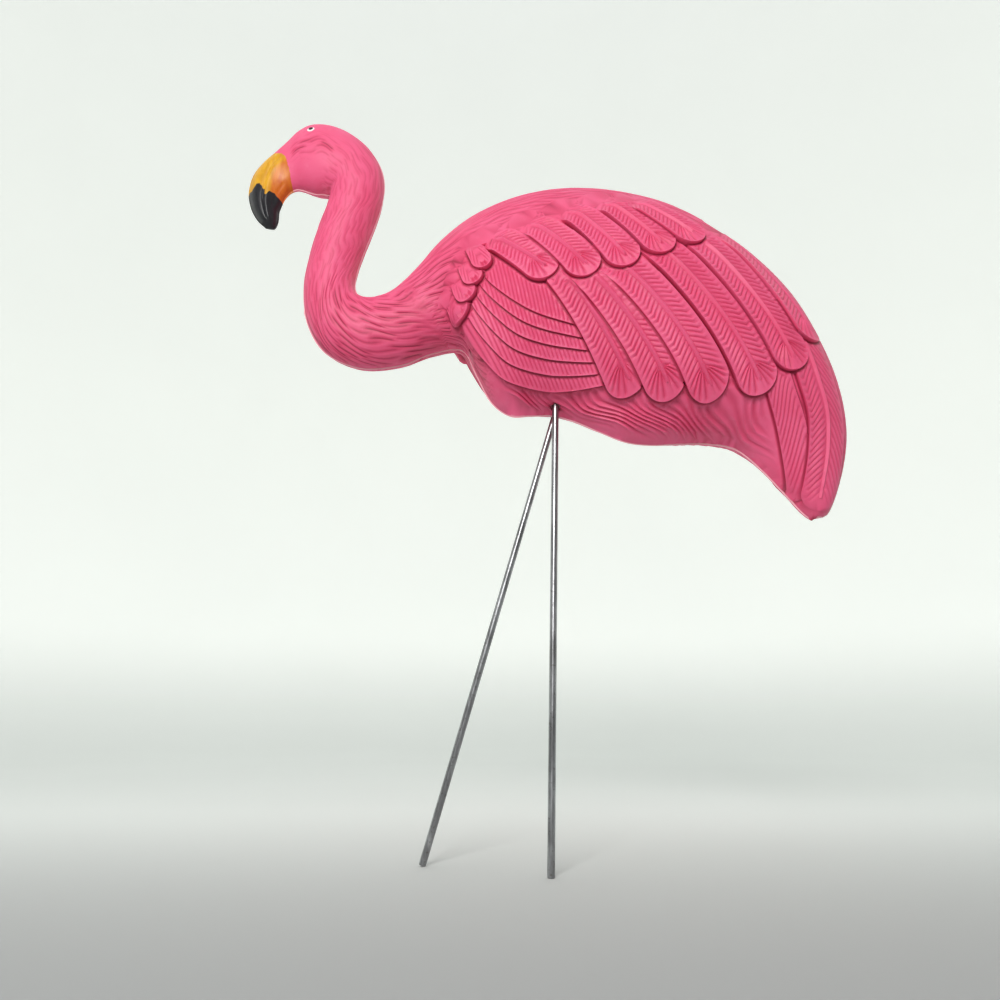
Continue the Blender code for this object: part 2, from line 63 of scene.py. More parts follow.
# %% A curve through a few points
def spline(rows, at):
    """Catmull-Rom: a cubic between two rows, whose slope at a row is half the step from the row before
    it to the row after it. Places are counted in rows."""
    last = len(rows) - 1
    row = np.clip(np.floor(at).astype(int), 0, last - 1)
    part = (at - row)[:, None]
    padded = np.vstack([2 * rows[0] - rows[1], rows, 2 * rows[-1] - rows[-2]])
    before, start, end, after = (padded[row + step] for step in range(4))
    first = end - before
    second = 2 * before - 5 * start + 4 * end - after
    third = 3 * start - before - 3 * end + after
    return 0.5 * (2 * start + first * part + second * part ** 2 + third * part ** 3)


def curve(points, share):
    """The same curve, with places from 0 at its first point to 1 at its last."""
    rows = np.asarray(points, dtype=float)
    return spline(rows, np.asarray(share) * (len(rows) - 1))


def smooth(value):
    """Goes gently from 0 to 1 as the value does: 3 v^2 - 2 v^3."""
    value = np.clip(value, 0, 1)
    return value * value * (3 - 2 * value)


def chance(number):
    """A fixed number from 0 to 1 for each whole number: the fraction of a large sine."""
    return np.modf(np.abs(np.sin(number * 12.9898 + 4.1) * 43758.5453))[0]


print("a curve's middle", curve([(0, 0), (1, 1), (2, 0)], np.array([0.5]))[0])

# %% [markdown]
# ## The moulding's side view
# The bird is one hollow moulding, parted along its middle. Seen from the side it lies between two
# long curves, the back and the belly, from the tail's tip to the bill's tip. A station is a line
# across from one to the other. Its width to the side comes from the same table.
# A box model with subdivision could make this too, but rails keep the long S of the neck fair.

# %% Rails from the tail's tip to the bill's tip, in drawn millimetres
# back x, back z, belly x, belly z, half width, keel
STATIONS = np.array([
    (309, 301, 305, 299, 5, 1.0), (321, 308, 296, 307, 13, 1.0), (336, 342, 283, 323, 20, 1.1),
    (345, 384, 262, 349, 30, 1.2), (342, 430, 240, 369, 42, 1.3), (328, 478, 214, 375, 53, 1.4),
    (303, 530, 187, 375, 63, 1.4), (267, 574, 158, 374, 70, 1.4), (227, 608, 134, 377, 74, 1.4),
    (186, 632, 110, 387, 76, 1.4), (145, 645, 86, 398, 76, 1.4), (104, 651, 64, 404, 75, 1.4),
    (63, 650, 43, 404, 72, 1.4), (22, 640, 23, 404, 67, 1.4), (-17, 620, 5, 418, 60, 1.3),
    (-49, 592, -9, 445, 50, 1.2), (-73, 561, -24, 474, 40, 1.1), (-95, 538, -54, 471, 34, 1.0),
    (-112, 531, -86, 458, 30, 1.0), (-124, 531, -125, 455, 29, 1.0), (-133, 537, -160, 471, 28, 1.0),
    (-136, 548, -180, 502, 27, 1.0), (-134, 565, -187, 540, 26, 1.0), (-128, 588, -184, 576, 26, 1.0),
    (-120, 614, -177, 612, 26, 1.0), (-113, 642, -170, 638, 26, 1.0), (-111, 668, -167, 655, 26, 1.0),
    (-116, 691, -171, 657, 26, 1.0), (-129, 713, -176, 658, 26, 1.0), (-149, 731, -182, 658, 26, 1.0),
    (-170, 741, -189, 660, 25, 1.0), (-190, 743, -197, 663, 22, 1.0), (-205, 736, -204, 664, 18, 1.0),
    (-216, 724, -210, 661, 15, 1.0), (-229, 710, -214, 656, 13, 1.0), (-241, 697, -217, 650, 12, 1.0),
    (-251, 680, -219, 643, 12, 1.0), (-254, 660, -221, 635, 12, 1.0), (-250, 641, -221, 626, 11, 1.0),
    (-242, 626, -222, 619, 9, 1.0), (-232, 616, -225, 615, 4, 1.0),
], dtype=float)
LAST = len(STATIONS) - 1
BACK_FULLNESS = 0.95
BREAST_STATION = 12.5
NECK_START = 17.0           # station where the body narrows into the neck
HEAD_START = 28.0
BILL_START = 33.4


class Strip:
    """A strip of straight lines between two rails: a place is (at, share), with share 0 on the first."""

    def __init__(self, first_rail, second_rail, last, samples):
        self.first_rail = first_rail
        self.second_rail = second_rail
        self.last = last
        along, across = samples
        at, share = np.meshgrid(np.linspace(0, last, along), np.linspace(0, 1, across), indexing="ij")
        self.at = at.ravel()
        self.samples = self.point(self.at, share.ravel())

    def point(self, at, share):
        """The point of the side view at each place: first + share * (second - first)."""
        first = self.first_rail(at)
        return first + (self.second_rail(at) - first) * share[:, None]

    def off_line(self, points, at):
        """How far each point is off the strip's line at its place: a cross product over a length."""
        first = self.first_rail(at)
        line = self.second_rail(at) - first
        gap = points - first
        return (gap[:, 0] * line[:, 1] - gap[:, 1] * line[:, 0]) / np.linalg.norm(line, axis=1)

    def place(self, points):
        """The place of each point: the nearest sample's line, turned onto the point by Newton's method."""
        nearest = np.empty(len(points), dtype=int)
        size = (self.samples ** 2).sum(axis=1)
        for low in range(0, len(points), 2000):
            block = points[low:low + 2000]
            nearest[low:low + 2000] = (size - 2 * block @ self.samples.T).argmin(axis=1)
        at = self.at[nearest]
        probe = 1e-3 * self.last
        for _ in range(6):
            off = self.off_line(points, at)
            slope = (self.off_line(points, at + probe) - off) / probe
            slope = np.where(np.abs(slope) < 1e-9, 1e-9, slope)
            at = np.clip(at + np.clip(-off / slope, -0.5, 0.5), 0, self.last)
        first = self.first_rail(at)
        line = self.second_rail(at) - first
        return at, ((points - first) * line).sum(axis=1) / (line ** 2).sum(axis=1)


MOULDING = Strip(lambda at: spline(STATIONS, at)[:, 0:2],
                 lambda at: spline(STATIONS, at)[:, 2:4], LAST, (500, 20))
FINE_STEPS = 2001
fine = np.linspace(0, LAST, FINE_STEPS)
steps = np.linalg.norm(np.diff(MOULDING.point(fine, np.full(FINE_STEPS, 0.5)), axis=0), axis=1)
RUN = np.concatenate([[0], np.cumsum(steps)])


def run_of(at):
    """Distance along the middle of the bird, in millimetres, from the tail's tip."""
    return np.interp(at, fine, RUN)


def station_at(run):
    """The station at a distance along the middle."""
    return np.interp(run, RUN, fine)


print("along the bird's middle", round(RUN[-1]), "mm")

# %% [markdown]
# ## Width to the side
# Across a station the moulding is close to an ellipse, a little fuller at the back and drawn down to
# a keel under the belly. The construction has the same rule, so this skin lies on that solid.

# %% From the side view to the surface
def half_width(at, share):
    """Half width: w * s^p, where s = 2 sqrt(share (1 - share)) is a half circle and the power p goes
    from the back's fullness to the station's keel with the square of the share."""
    row = spline(STATIONS, at)
    share = np.clip(share, 0, 1)
    power = BACK_FULLNESS + (row[:, 5] - BACK_FULLNESS) * share ** 2
    return row[:, 4] * (2 * np.sqrt(share * (1 - share))) ** power


def surface(at, turn):
    """The smooth left half: x and z from the strip, y from the width; turn is the angle round a
    station, 0 at the back and pi at the belly, so share = (1 - cos turn) / 2."""
    share = (1 - np.cos(turn)) / 2
    flat = MOULDING.point(at, share)
    return np.column_stack([flat[:, 0], -half_width(at, share), flat[:, 1]])


def outward(at, turn):
    """Unit normals of the smooth left half: the cross product of its two small steps."""
    turn = np.clip(turn, 0.05, math.pi - 0.05)
    at = np.clip(at, 0.05, LAST - 0.05)
    step = 1e-3
    here = surface(at, turn)
    normal = np.cross(surface(at + step, turn) - here, surface(at, turn + step) - here)
    normal /= np.linalg.norm(normal, axis=1)[:, None]
    return normal * np.where(normal[:, 1] > 0, -1, 1)[:, None]


print("half width amidships", round(float(half_width(np.array([10.0]), np.array([0.5]))[0])), "mm")

# %% [markdown]
# ## Feathers
# The carver cut each feather as a lobe with a raised left edge, a quill down its middle and barbs
# that leave the quill at a slant and fan out round the tip. A lobe is a bent axis with a width, so
# every point near it has a distance along and a distance across, and the barbs are stripes in those.
# Bump mapping would be quicker, but these ridges are 4 mm apart and over 1 mm deep.

# %% One feather
RIDGE_PLACES = np.array([0.0, 0.2, 0.5, 0.8])
RIDGE_POWER = 0.7
RIM = 1.0                   # plain rim round a feather
RIM_RUN = 0.9               # the grooves deepen over this width inside the rim
EDGE_RUN = 1.0              # a feather's edge falls within this width
FOOT_RUN = 3.0              # width of the cut at the foot of an edge
CALM_START = 0.4            # beside an edge the lower feather is plain as far as this
CALM_RUN = 2.8              # the lower feather's grooves end within this width of the edge
FOOT_DEPTH = 0.9            # depth of that cut
TIP_LIFT = 0.8              # how far a round tip stands off the layer below
# Grooves and cuts get painted shade: the plastic is coloured darker there, where shade falls.
GROOVE_SHADE = 0.62          # how dark a groove is next to the cut beside an edge
BARB_BEND = 0.18            # how much a barb bends towards the tip on its way to the rim
QUILL_HALF = 2.1            # the quill's half width at the root
QUILL_TAPER = 0.9           # how much of it is lost by the tip
QUILL_TOP = 1.3             # height of the quill
QUILL_CUT = 0.8             # from the quill to the groove beside it
QUILL_END = 0.35            # the quill passes the tip's centre by this share of the half width
FAN_CENTRE = 0.55           # the barbs fan out from this share of the half width before it
QUILL_STEP = 2.8            # between mesh points along a quill
BARB_STEP = 5.5             # along a barb
OUTLINE_STEP = 2.3          # and along an edge
ROOT_BLEND = 0.3            # share of a feather's length over which its root rises
ROOT_RUN = 16.0             # the strokes of the back run this far into a root
AXIS_SHARES = np.linspace(0, 1, 25)     # where a feather's axis has its points
FAN_BARBS = 4               # barbs on each side that fan out round the tip


def ridge(phase):
    """One round-topped ridge for each whole number, with grooves between: ((1 - cos 2 pi f) / 2)^p."""
    return (0.5 - 0.5 * np.cos(2 * math.pi * phase)) ** RIDGE_POWER


class Feather:
    """A lobe of the side view. Sizes are millimetres and angles degrees."""

    def __init__(self, axis, half_width, root_share, rise, step, pitch, depth, quill=QUILL_TOP,
                 right=54.0, left=62.0, quill_at=0.0, round_tip=True):
        self.axis = axis
        self.half_width = half_width
        self.root_share = root_share
        self.rise = rise
        self.step = step
        self.pitch = pitch
        self.depth = depth
        self.quill = quill
        self.angles = np.radians([left, right])
        self.quill_at = quill_at
        legs = np.linalg.norm(np.diff(axis, axis=0), axis=1)
        self.travel = np.concatenate([[0], np.cumsum(legs)])
        self.length = self.travel[-1]
        self.fan = self.length - FAN_CENTRE * half_width if round_tip else self.length + 3 * half_width
        self.round_tip = round_tip
        self.stem_end = self.length + QUILL_END * half_width
        self.low = axis.min(axis=0) - half_width - 4
        self.high = axis.max(axis=0) + half_width + 4

    def width(self, run):
        """Half width, which grows in proportion to the distance from the root."""
        share = np.clip(run / self.length, 0, 1)
        return self.half_width * (self.root_share + (1 - self.root_share) * share)

    def near(self, points):
        """Which points are worth measuring."""
        return ((points > self.low) & (points < self.high)).all(axis=1)

    def measure(self, points):
        """Distance along the axis, across it (right positive) and from it, which rounds the tip."""
        best = np.full(len(points), np.inf)
        run = np.zeros(len(points))
        across = np.zeros(len(points))
        last = len(self.axis) - 2
        for k in range(last + 1):
            leg = self.axis[k + 1] - self.axis[k]
            length = np.linalg.norm(leg)
            way = leg / length
            gap = points - self.axis[k]
            forward = np.clip(gap @ way, 0, np.inf if k == last else length)
            gap = gap - forward[:, None] * way
            distance = np.linalg.norm(gap, axis=1)
            side = np.where(way[1] * gap[:, 0] - way[0] * gap[:, 1] < 0, 1.0, -1.0)
            closer = distance < best
            best = np.where(closer, distance, best)
            run = np.where(closer, self.travel[k] + forward, run)
            across = np.where(closer, side * distance, across)
        return run, across, np.hypot(across, np.maximum(run - self.length, 0))

    def slant(self, spread, angle):
        """How far along the feather a barb has gone at a distance from the quill: straight, then bent."""
        return spread / np.tan(angle) + BARB_BEND * spread ** 2 / self.half_width

    def barbs(self, run, across, width):
        """Phase of the barbs, and the distance from the quill. Beside the quill the phase is the place
        where a barb starts, over the pitch. Past the fan's centre it is the angle round that centre."""
        offset = across - self.quill_at * width
        spread = np.abs(offset)
        angle = np.where(offset > 0, self.angles[1], self.angles[0])
        start = run - self.slant(spread, angle) - self.fan
        row = start * np.sin(angle) / self.pitch
        turn = np.arctan2(spread, np.maximum(start + spread / np.tan(angle), 1e-6))
        return np.where(start > 0, (angle - turn) / angle * FAN_BARBS, row), spread

    def stem_half(self, run):
        """The quill's half width, which thins out towards the tip."""
        return QUILL_HALF - QUILL_TAPER * np.clip(run / self.length, 0, 1.2)

    def height(self, run, across, distance):
        """Level over the body, depth cut into it and painted shade of the cut: a tilt up to the left edge,
        grooves between the barbs, and a round quill that stands between two grooves of its own."""
        width = self.width(run)
        tilt = 0.5 - 0.5 * np.clip(across / width, -1, 1)
        lift = TIP_LIFT * smooth(2 * run / self.length - 1) if self.round_tip else 0
        rise = (self.rise + self.step * tilt + lift) * smooth(run / self.length / ROOT_BLEND)
        phase, spread = self.barbs(run, across, width)
        area = smooth((width - distance - RIM) / RIM_RUN) * smooth(run / 10)
        stem = self.stem_half(run)
        beyond = np.hypot(spread - np.minimum(spread, stem), np.maximum(run - self.stem_end, 0))
        groove = (1 - ridge(phase)) * smooth(beyond)
        if self.quill:
            groove = np.maximum(groove, 0.75 * np.exp(-((beyond - QUILL_CUT) / 0.55) ** 2))
        groove = groove * area
        top = self.quill * np.clip(1 - (spread / stem) ** 2, 0, 1) * (run < self.stem_end) * area
        return rise + self.depth + top, self.depth * groove, GROOVE_SHADE * groove

    def on_axis(self, run):
        """Points of the axis at distances along it."""
        return np.stack([np.interp(run, self.travel, column) for column in self.axis.T], axis=-1)

    def point(self, run, across):
        """Points of the side view at distances along and across: axis + across * its right side."""
        inner = np.clip(run, 0, self.length)
        step = 0.5
        way = self.on_axis(inner + step) - self.on_axis(inner - step)
        way = way / np.linalg.norm(way, axis=-1)[..., None]
        right = np.stack([-way[..., 1], way[..., 0]], axis=-1)
        return self.on_axis(inner) + right * across[..., None] + way * (run - inner)[..., None]

    def outline(self, grow, spacing=OUTLINE_STEP):
        """The edge, moved out by a distance: left side, round tip, right side."""
        run = np.linspace(0, self.length, max(4, int(self.length / spacing)))
        reach = self.width(run) + grow
        turn = np.linspace(0, math.pi, max(8, int(math.pi * self.half_width / spacing)))[1:-1]
        tip_run = self.length + np.sin(turn) * reach[-1]
        tip_across = -np.cos(turn) * reach[-1]
        runs = np.concatenate([run, tip_run, run[::-1]])
        return self.point(runs, np.concatenate([-reach, tip_across, reach[::-1]]))

    def lines(self):
        """Lines of mesh points that follow the grooves and crests of the barbs, and the quill."""
        made = []
        for side, angle in zip((-1, 1), self.angles):
            room = self.half_width * (1 - side * self.quill_at)
            if room < 2:
                continue
            pitch = self.pitch / np.sin(angle)
            first = np.floor(-self.fan / pitch) - np.ceil(self.slant(room, angle) / pitch)
            last = 0 if self.round_tip else np.ceil((self.length - self.fan) / pitch)
            start = (np.arange(first, last)[:, None] + RIDGE_PLACES).ravel() * pitch
            spread = np.linspace(2.4, room - 1.0, max(4, int(room / math.sin(angle) / BARB_STEP)))
            run = self.fan + start[:, None] + self.slant(spread, angle)[None, :]
            made.append((run, np.broadcast_to(side * spread, run.shape)))
            if not self.round_tip:
                continue
            phase = (np.arange(FAN_BARBS)[:, None] + RIDGE_PLACES).ravel()[:-1 if side < 0 else None]
            turn = (angle * (1 - phase / FAN_BARBS))[:, None]
            reach = np.linspace(8.0, 1.5 * self.half_width, 6)[None, :]
            spread = reach * np.sin(turn)
            run = self.fan + reach * np.cos(turn) + BARB_BEND * spread ** 2 / self.half_width
            made.append((run, side * spread))
        run = np.arange(3, self.stem_end + 1, QUILL_STEP)[None, :]
        stem = self.stem_half(run)
        marks = (-stem - QUILL_CUT, -stem, 0 * stem, stem, stem + QUILL_CUT) if self.quill else ()
        for across in marks:
            made.append((run, across))
        return [self.point(run, across + self.quill_at * self.width(run)) for run, across in made]


def bent_axis(root, tip, half_width, bow):
    """A feather's axis: a straight run, pushed aside by a parabola of height bow."""
    root = np.array(root, dtype=float)
    tip = np.array(tip, dtype=float)
    run = tip - root
    length = np.linalg.norm(run)
    share = AXIS_SHARES[:, None]
    aside = np.array([-run[1], run[0]]) / length * bow * 4 * share * (1 - share)
    return root + (run - run / length * half_width) * share + aside


def feather_row(count, roots, tips, half_width, bow, **looks):
    """Feathers at equal shares between a curve of roots and a curve of tips."""
    share = np.linspace(0, 1, count)
    bows = bow * np.sin(np.pi * np.linspace(0.15, 0.85, count))
    ends = zip(curve(roots, share), curve(tips, share), bows)
    return [Feather(bent_axis(root, tip, half_width, b), half_width, **looks) for root, tip, b in ends]


# %% The feathers of wing and tail, from the lowest layer to the highest
WING_RISE = 3.0
STEP = 1.6
TAIL = [
    Feather(curve([(254, 460), (268, 414), (279, 386), (287, 358), (294, 328)], AXIS_SHARES),
            12.5, root_share=1.1, rise=0.4, step=0.6, pitch=4.4, depth=1.0,
            quill=0.0, left=32, quill_at=0.95, round_tip=False),
    Feather(curve([(294, 470), (306, 428), (315, 394), (315, 360), (309, 322)], AXIS_SHARES),
            17.0, root_share=1.4, rise=0.5, step=0.7, pitch=4.4, depth=1.1,
            right=28, left=42, round_tip=False),
]
BIG_ROW = feather_row(6, ((53, 541), (98, 533), (161, 563), (234, 584)),
                      ((139, 410), (198, 404), (268, 413), (312, 463)), 19.5, 6.0,
                      root_share=0.95, rise=WING_RISE - 1.0, step=STEP, pitch=4.5, depth=1.6)
KNUCKLES = feather_row(4, ((-15, 560), (-22, 541), (-29, 523), (-34, 506)),
                       ((1, 526), (-7, 512), (-12, 499), (-18, 486)), 9.5, 0.0,
                       root_share=0.8, rise=WING_RISE + 0.6, step=STEP, pitch=2.6, depth=0.6,
                       quill=0.0, right=14, left=14)[::-1]
UPPER_ROW = feather_row(5, ((4, 564), (51, 581), (100, 600), (141, 608)),
                        ((64, 514), (112, 514), (159, 531), (203, 553)), 18.0, 2.0,
                        root_share=0.8, rise=WING_RISE - 0.1, step=STEP, pitch=4.0, depth=1.4)
FEATHERS = TAIL + BIG_ROW + KNUCKLES + UPPER_ROW


def uncovered(points, above, grow=0.0):
    """Which points none of the feathers above covers, each grown by a distance."""
    free = np.ones(len(points), dtype=bool)
    for feather in above:
        near = np.flatnonzero(feather.near(points))
        run, _, distance = feather.measure(points[near])
        free[near[distance < feather.width(run) + grow]] = False
    return free


print(len(FEATHERS), "feathers a side")

# %% [markdown]
# ## The fan of long feathers
# Below the bend of the wing long feathers lie like an open hand. Seven nearly parallel curves part
# them, so they are bands of one strip, and their barbs are fine steep stripes.

# %% The fan
FAN_BANDS = 6
FAN_LOWER = ((-27, 492), (-17, 471), (0, 446), (20, 427), (48, 420), (81, 418), (110, 418))
FAN_UPPER = ((-3, 538), (6, 522), (21, 508), (38, 496), (54, 487), (74, 479), (96, 470))
FAN_MARGIN = 0.35           # the fan goes on above its upper line, under the upper row
FAN_PITCH = 3.3
FAN_DEPTH = 1.0
FAN_SHIFT = 0.37            # how far the stripes of one band are off those of the next, in stripes
FAN_ANGLES = (80.0, 56.0)   # degrees below the horizontal, in the top band and the lowest one
FAN_SPAN = 84.0             # from the upper line to the lower one
FAN = Strip(lambda at: curve(FAN_UPPER, at), lambda at: curve(FAN_LOWER, at), 1.0, (80, 24))


def fan_angle(band):
    """Angle of a band's stripes below the horizontal, in radians: even steps from band to band."""
    top, low = FAN_ANGLES
    return np.radians(top + (low - top) * (np.asarray(band) + 0.5) / FAN_BANDS)


def fan_phase(points, band):
    """Stripes of a plane wave: the distance across the stripes, over their pitch."""
    angle = fan_angle(band)
    across = points[:, 0] * np.sin(angle) + points[:, 1] * np.cos(angle)
    return across / FAN_PITCH + FAN_SHIFT * np.asarray(band)


def fan_height(points, at, share):
    """Level, cut and painted shade of the fan, each band rising to its lower edge, from the body's own
    level at the knuckles to the full height at the long feathers."""
    band = np.clip(np.floor(share * FAN_BANDS), 0, FAN_BANDS - 1)
    part = np.clip(share * FAN_BANDS - band, -1, 1)
    span = FAN_SPAN / FAN_BANDS
    inner = np.where(band > 0, np.minimum(part, 1 - part), 1 - part) * span
    groove = (1 - ridge(fan_phase(points, band))) * smooth(inner - 0.7)
    foot = np.clip(1 - part * span / FOOT_RUN, 0, 1) * (band > 0)
    rise = (WING_RISE - 1.4) * smooth(at / 0.5) * smooth((share + FAN_MARGIN) * 4)
    rise = rise * (1 + 0.8 * smooth((share - 0.6) / 0.4))
    level = rise + STEP * np.clip(part, 0, 1) * (0.5 + 0.5 * smooth(at / 0.4)) + 0.3 * FAN_DEPTH
    painted_shade = np.maximum(GROOVE_SHADE * groove, smooth(1.5 * foot))
    return level - FOOT_DEPTH * foot, FAN_DEPTH * groove, painted_shade


print("fan", FAN_BANDS, "bands of", round(FAN_SPAN / FAN_BANDS, 1), "mm")

# %% [markdown]
# ## Down and hair-like strokes
# Under the wing the carver cut bold wavy locks that die out in a smooth band above the seam. Neck,
# breast and back carry shorter strokes. Both are stripes whose phase is bent by slow sines, and each
# stripe has its own length and strength, so that no two look the same.

# %% Locks of the belly
LOCK_COUNT = 25
LOCK_DEPTH = 2.6
LOCK_SWEEP = 5.2            # how far a lock is swept back at its end, in locks
LOCK_STARTS = ((6, 428), (84, 416), (176, 404), (262, 404))
LOCK_ENDS = ((26, 402), (112, 384), (204, 366), (284, 326))
LOCKS = Strip(lambda at: curve(LOCK_STARTS, at), lambda at: curve(LOCK_ENDS, at), 1.0, (200, 10))


def lock_swing(at, share):
    """How far the stripes are bent aside, in stripes: swept back more and more with the share, with a
    long S and a slower wave."""
    swept = -LOCK_SWEEP * share * (0.5 + 0.5 * np.abs(share))
    bend = 0.5 * np.sin(2 * np.pi * (share * 1.1 - 0.1))
    return swept + bend + 0.35 * np.sin(2 * np.pi * (5.3 * at + share))


def lock_height(points):
    """Level, cut and painted shade of bold ridges with a finer stroke on each, fading to both ends."""
    at, share = LOCKS.place(points)
    covered = (share > -0.25) & (share < 1) & (at > 0) & (at < 1)
    phase = at * LOCK_COUNT + lock_swing(at, share)
    number = np.round(phase)
    reach = 0.8 + 0.3 * chance(number)
    fade = smooth((reach - share) / 0.3) * smooth(at * 14) * smooth((1 - at) * 14)
    groove = (1 - ridge(phase)) * (0.65 + 0.35 * chance(number + 50))
    groove = (groove + 0.15 * (1 - ridge(2 * phase + 0.5))) * fade
    return 0.6 * LOCK_DEPTH * fade, LOCK_DEPTH * groove, GROOVE_SHADE * np.clip(groove, 0, 1), covered


# %% Strokes of the neck, the breast and the back
NECK_STROKES = 18           # round half the neck
STROKE_LENGTH = 40.0
LAYER_STATIONS = (17.4, 14.8)           # the second and the third layer start below these
STROKE_DRIFT = 1.9          # how far strokes turn round the bird on the lower bend, in radians


def stroke_wave(count, at, turn):
    """How far the strokes swing aside, in strokes: two sines, and a drift across the lower bend."""
    run = run_of(at)
    slow = 0.5 * np.sin(2 * np.pi * run / 83 + 2.3 * turn)
    fine_wave = 0.22 * np.sin(2 * np.pi * run / 31 + 4.1 * turn + 1.0)
    return count / math.pi * STROKE_DRIFT * smooth((at - 15.5) / 7.5) + slow + fine_wave


def cuts(phase, run):
    """Grooves on whole numbers, each a row of strokes that start by chance and taper at both ends."""
    number = np.round(phase)
    length = STROKE_LENGTH * (0.8 + 0.6 * chance(number))
    swell = smooth(0.5 + 0.9 * np.sin(2 * np.pi * (run / length + chance(number + 9))))
    return (1 - ridge(phase)) * (0.28 + 0.72 * swell)


def one_layer(count, at, turn):
    """Two sets of strokes, one between the other's lines."""
    phase = count * turn / math.pi + stroke_wave(count, at, turn)
    run = run_of(at)
    return np.maximum(cuts(phase, run), 0.8 * cuts(phase + 0.5, run + STROKE_LENGTH / 2))


def stroke_height(at, share):
    """Level, cut and painted shade. Three layers take over from each other as the bird widens. The strokes
    are bold on the lower bend, fine on neck and back, arcs below the eye, and gone on crown and keel."""
    turn = np.arccos(1 - 2 * np.clip(share, 0, 1))
    second, third = (smooth((station - at) / 1.2) for station in LAYER_STATIONS)
    groove = one_layer(NECK_STROKES, at, turn) * (1 - second)
    groove = groove + one_layer(2 * NECK_STROKES, at, turn) * second * (1 - third)
    groove = groove + one_layer(4 * NECK_STROKES, at, turn) * third
    bend = smooth((at - BREAST_STATION) / 1.5) * smooth((22.5 - at) / 3.0) * smooth((share - 0.05) / 0.3)
    arcs = smooth(at - 28.0) * smooth((32.8 - at) / 0.8) * np.exp(-((share - 0.49) / 0.15) ** 2)
    depth = 0.5 + 0.62 * bend + 0.3 * smooth((14 - at) / 2)
    depth = depth * (1 - 0.8 * smooth((at - HEAD_START + 0.5) / 1.5)) + 0.85 * arcs
    depth = depth * (1 - smooth((share - 0.80) / 0.06) * smooth(14.5 - at))
    depth = depth * smooth(np.sin(turn) / 0.25) * smooth((BILL_START - 0.4 - at) / 0.6) * smooth(at / 3)
    return 0.4 * depth, depth * groove, groove * np.clip(depth, 0, 1)


print(LOCK_COUNT, "locks and", NECK_STROKES, "strokes a side")

# %% [markdown]
# ## Bill, eye and tail end
# The bill is carved with a groove and a raised edge along its side, and a mouth line below. The eye
# is a shallow dish with a dot. The tail ends in a small pinched tip with three dents.

# %% Small carved forms
GROOVE_STATIONS = (33.2, 34.5, 35.4, 36.4, 38.8)
GROOVE_SHARES = (0.33, 0.33, 0.43, 0.55, 0.6)
MOUTH_SHARE = 0.86
EYE = np.array((-189.0, 725.6))
DENTS = ((308, 334, 5.0), (311, 325, 5.5), (309, 315, 4.5))
DENT_SLOPE = math.radians(35)


def bill_height(at, share):
    """A groove along the bill, a rounded edge beside it, and the line of the mouth."""
    gap = share - np.interp(at, GROOVE_STATIONS, GROOVE_SHARES)
    ends = smooth((at - BILL_START - 0.1) / 0.6) * smooth((39.3 - at) / 0.8)
    groove = -0.9 * np.exp(-(gap / 0.035) ** 2)
    edge = 0.9 * np.exp(-((gap - 0.11) / 0.07) ** 2)
    mouth = -0.8 * np.exp(-((share - MOUTH_SHARE) / 0.03) ** 2) * smooth(37.5 - at)
    return (groove + edge + mouth) * ends


def small_forms(points, at, share):
    """Eye and dents, as soft rings and ovals round their places."""
    eye = np.linalg.norm(points - EYE, axis=1)
    height = 0.5 * np.exp(-((eye - 5.0) / 1.2) ** 2) - 0.3 * np.exp(-(eye / 3.4) ** 4)
    for x, z, reach in DENTS:
        along = (points[:, 0] - x) * math.cos(DENT_SLOPE) + (points[:, 1] - z) * math.sin(DENT_SLOPE)
        aside = (points[:, 1] - z) * math.cos(DENT_SLOPE) - (points[:, 0] - x) * math.sin(DENT_SLOPE)
        height = height - np.exp(-(along / reach) ** 2 - (aside / 1.3) ** 2)
    return height


# %% All carving together
BACK_FADE = (0.04, 0.24)    # shares between which the relief of the wing grows, from the back down
BACK_RELIEF = 0.12          # what is left of it on the back
SEAM_FADE = 7.0             # the relief of the wing dies out this far from the seam under the belly
BREAST_FADE = 20.0          # more at the breast, where the knuckles come close to the seam
TIP_FADE = 2.6              # station from which the relief of the tail fades to its tip


def rail_gap(at):
    """Distance between the two rails at stations."""
    row = spline(STATIONS, at)
    return np.hypot(row[:, 0] - row[:, 2], row[:, 1] - row[:, 3])


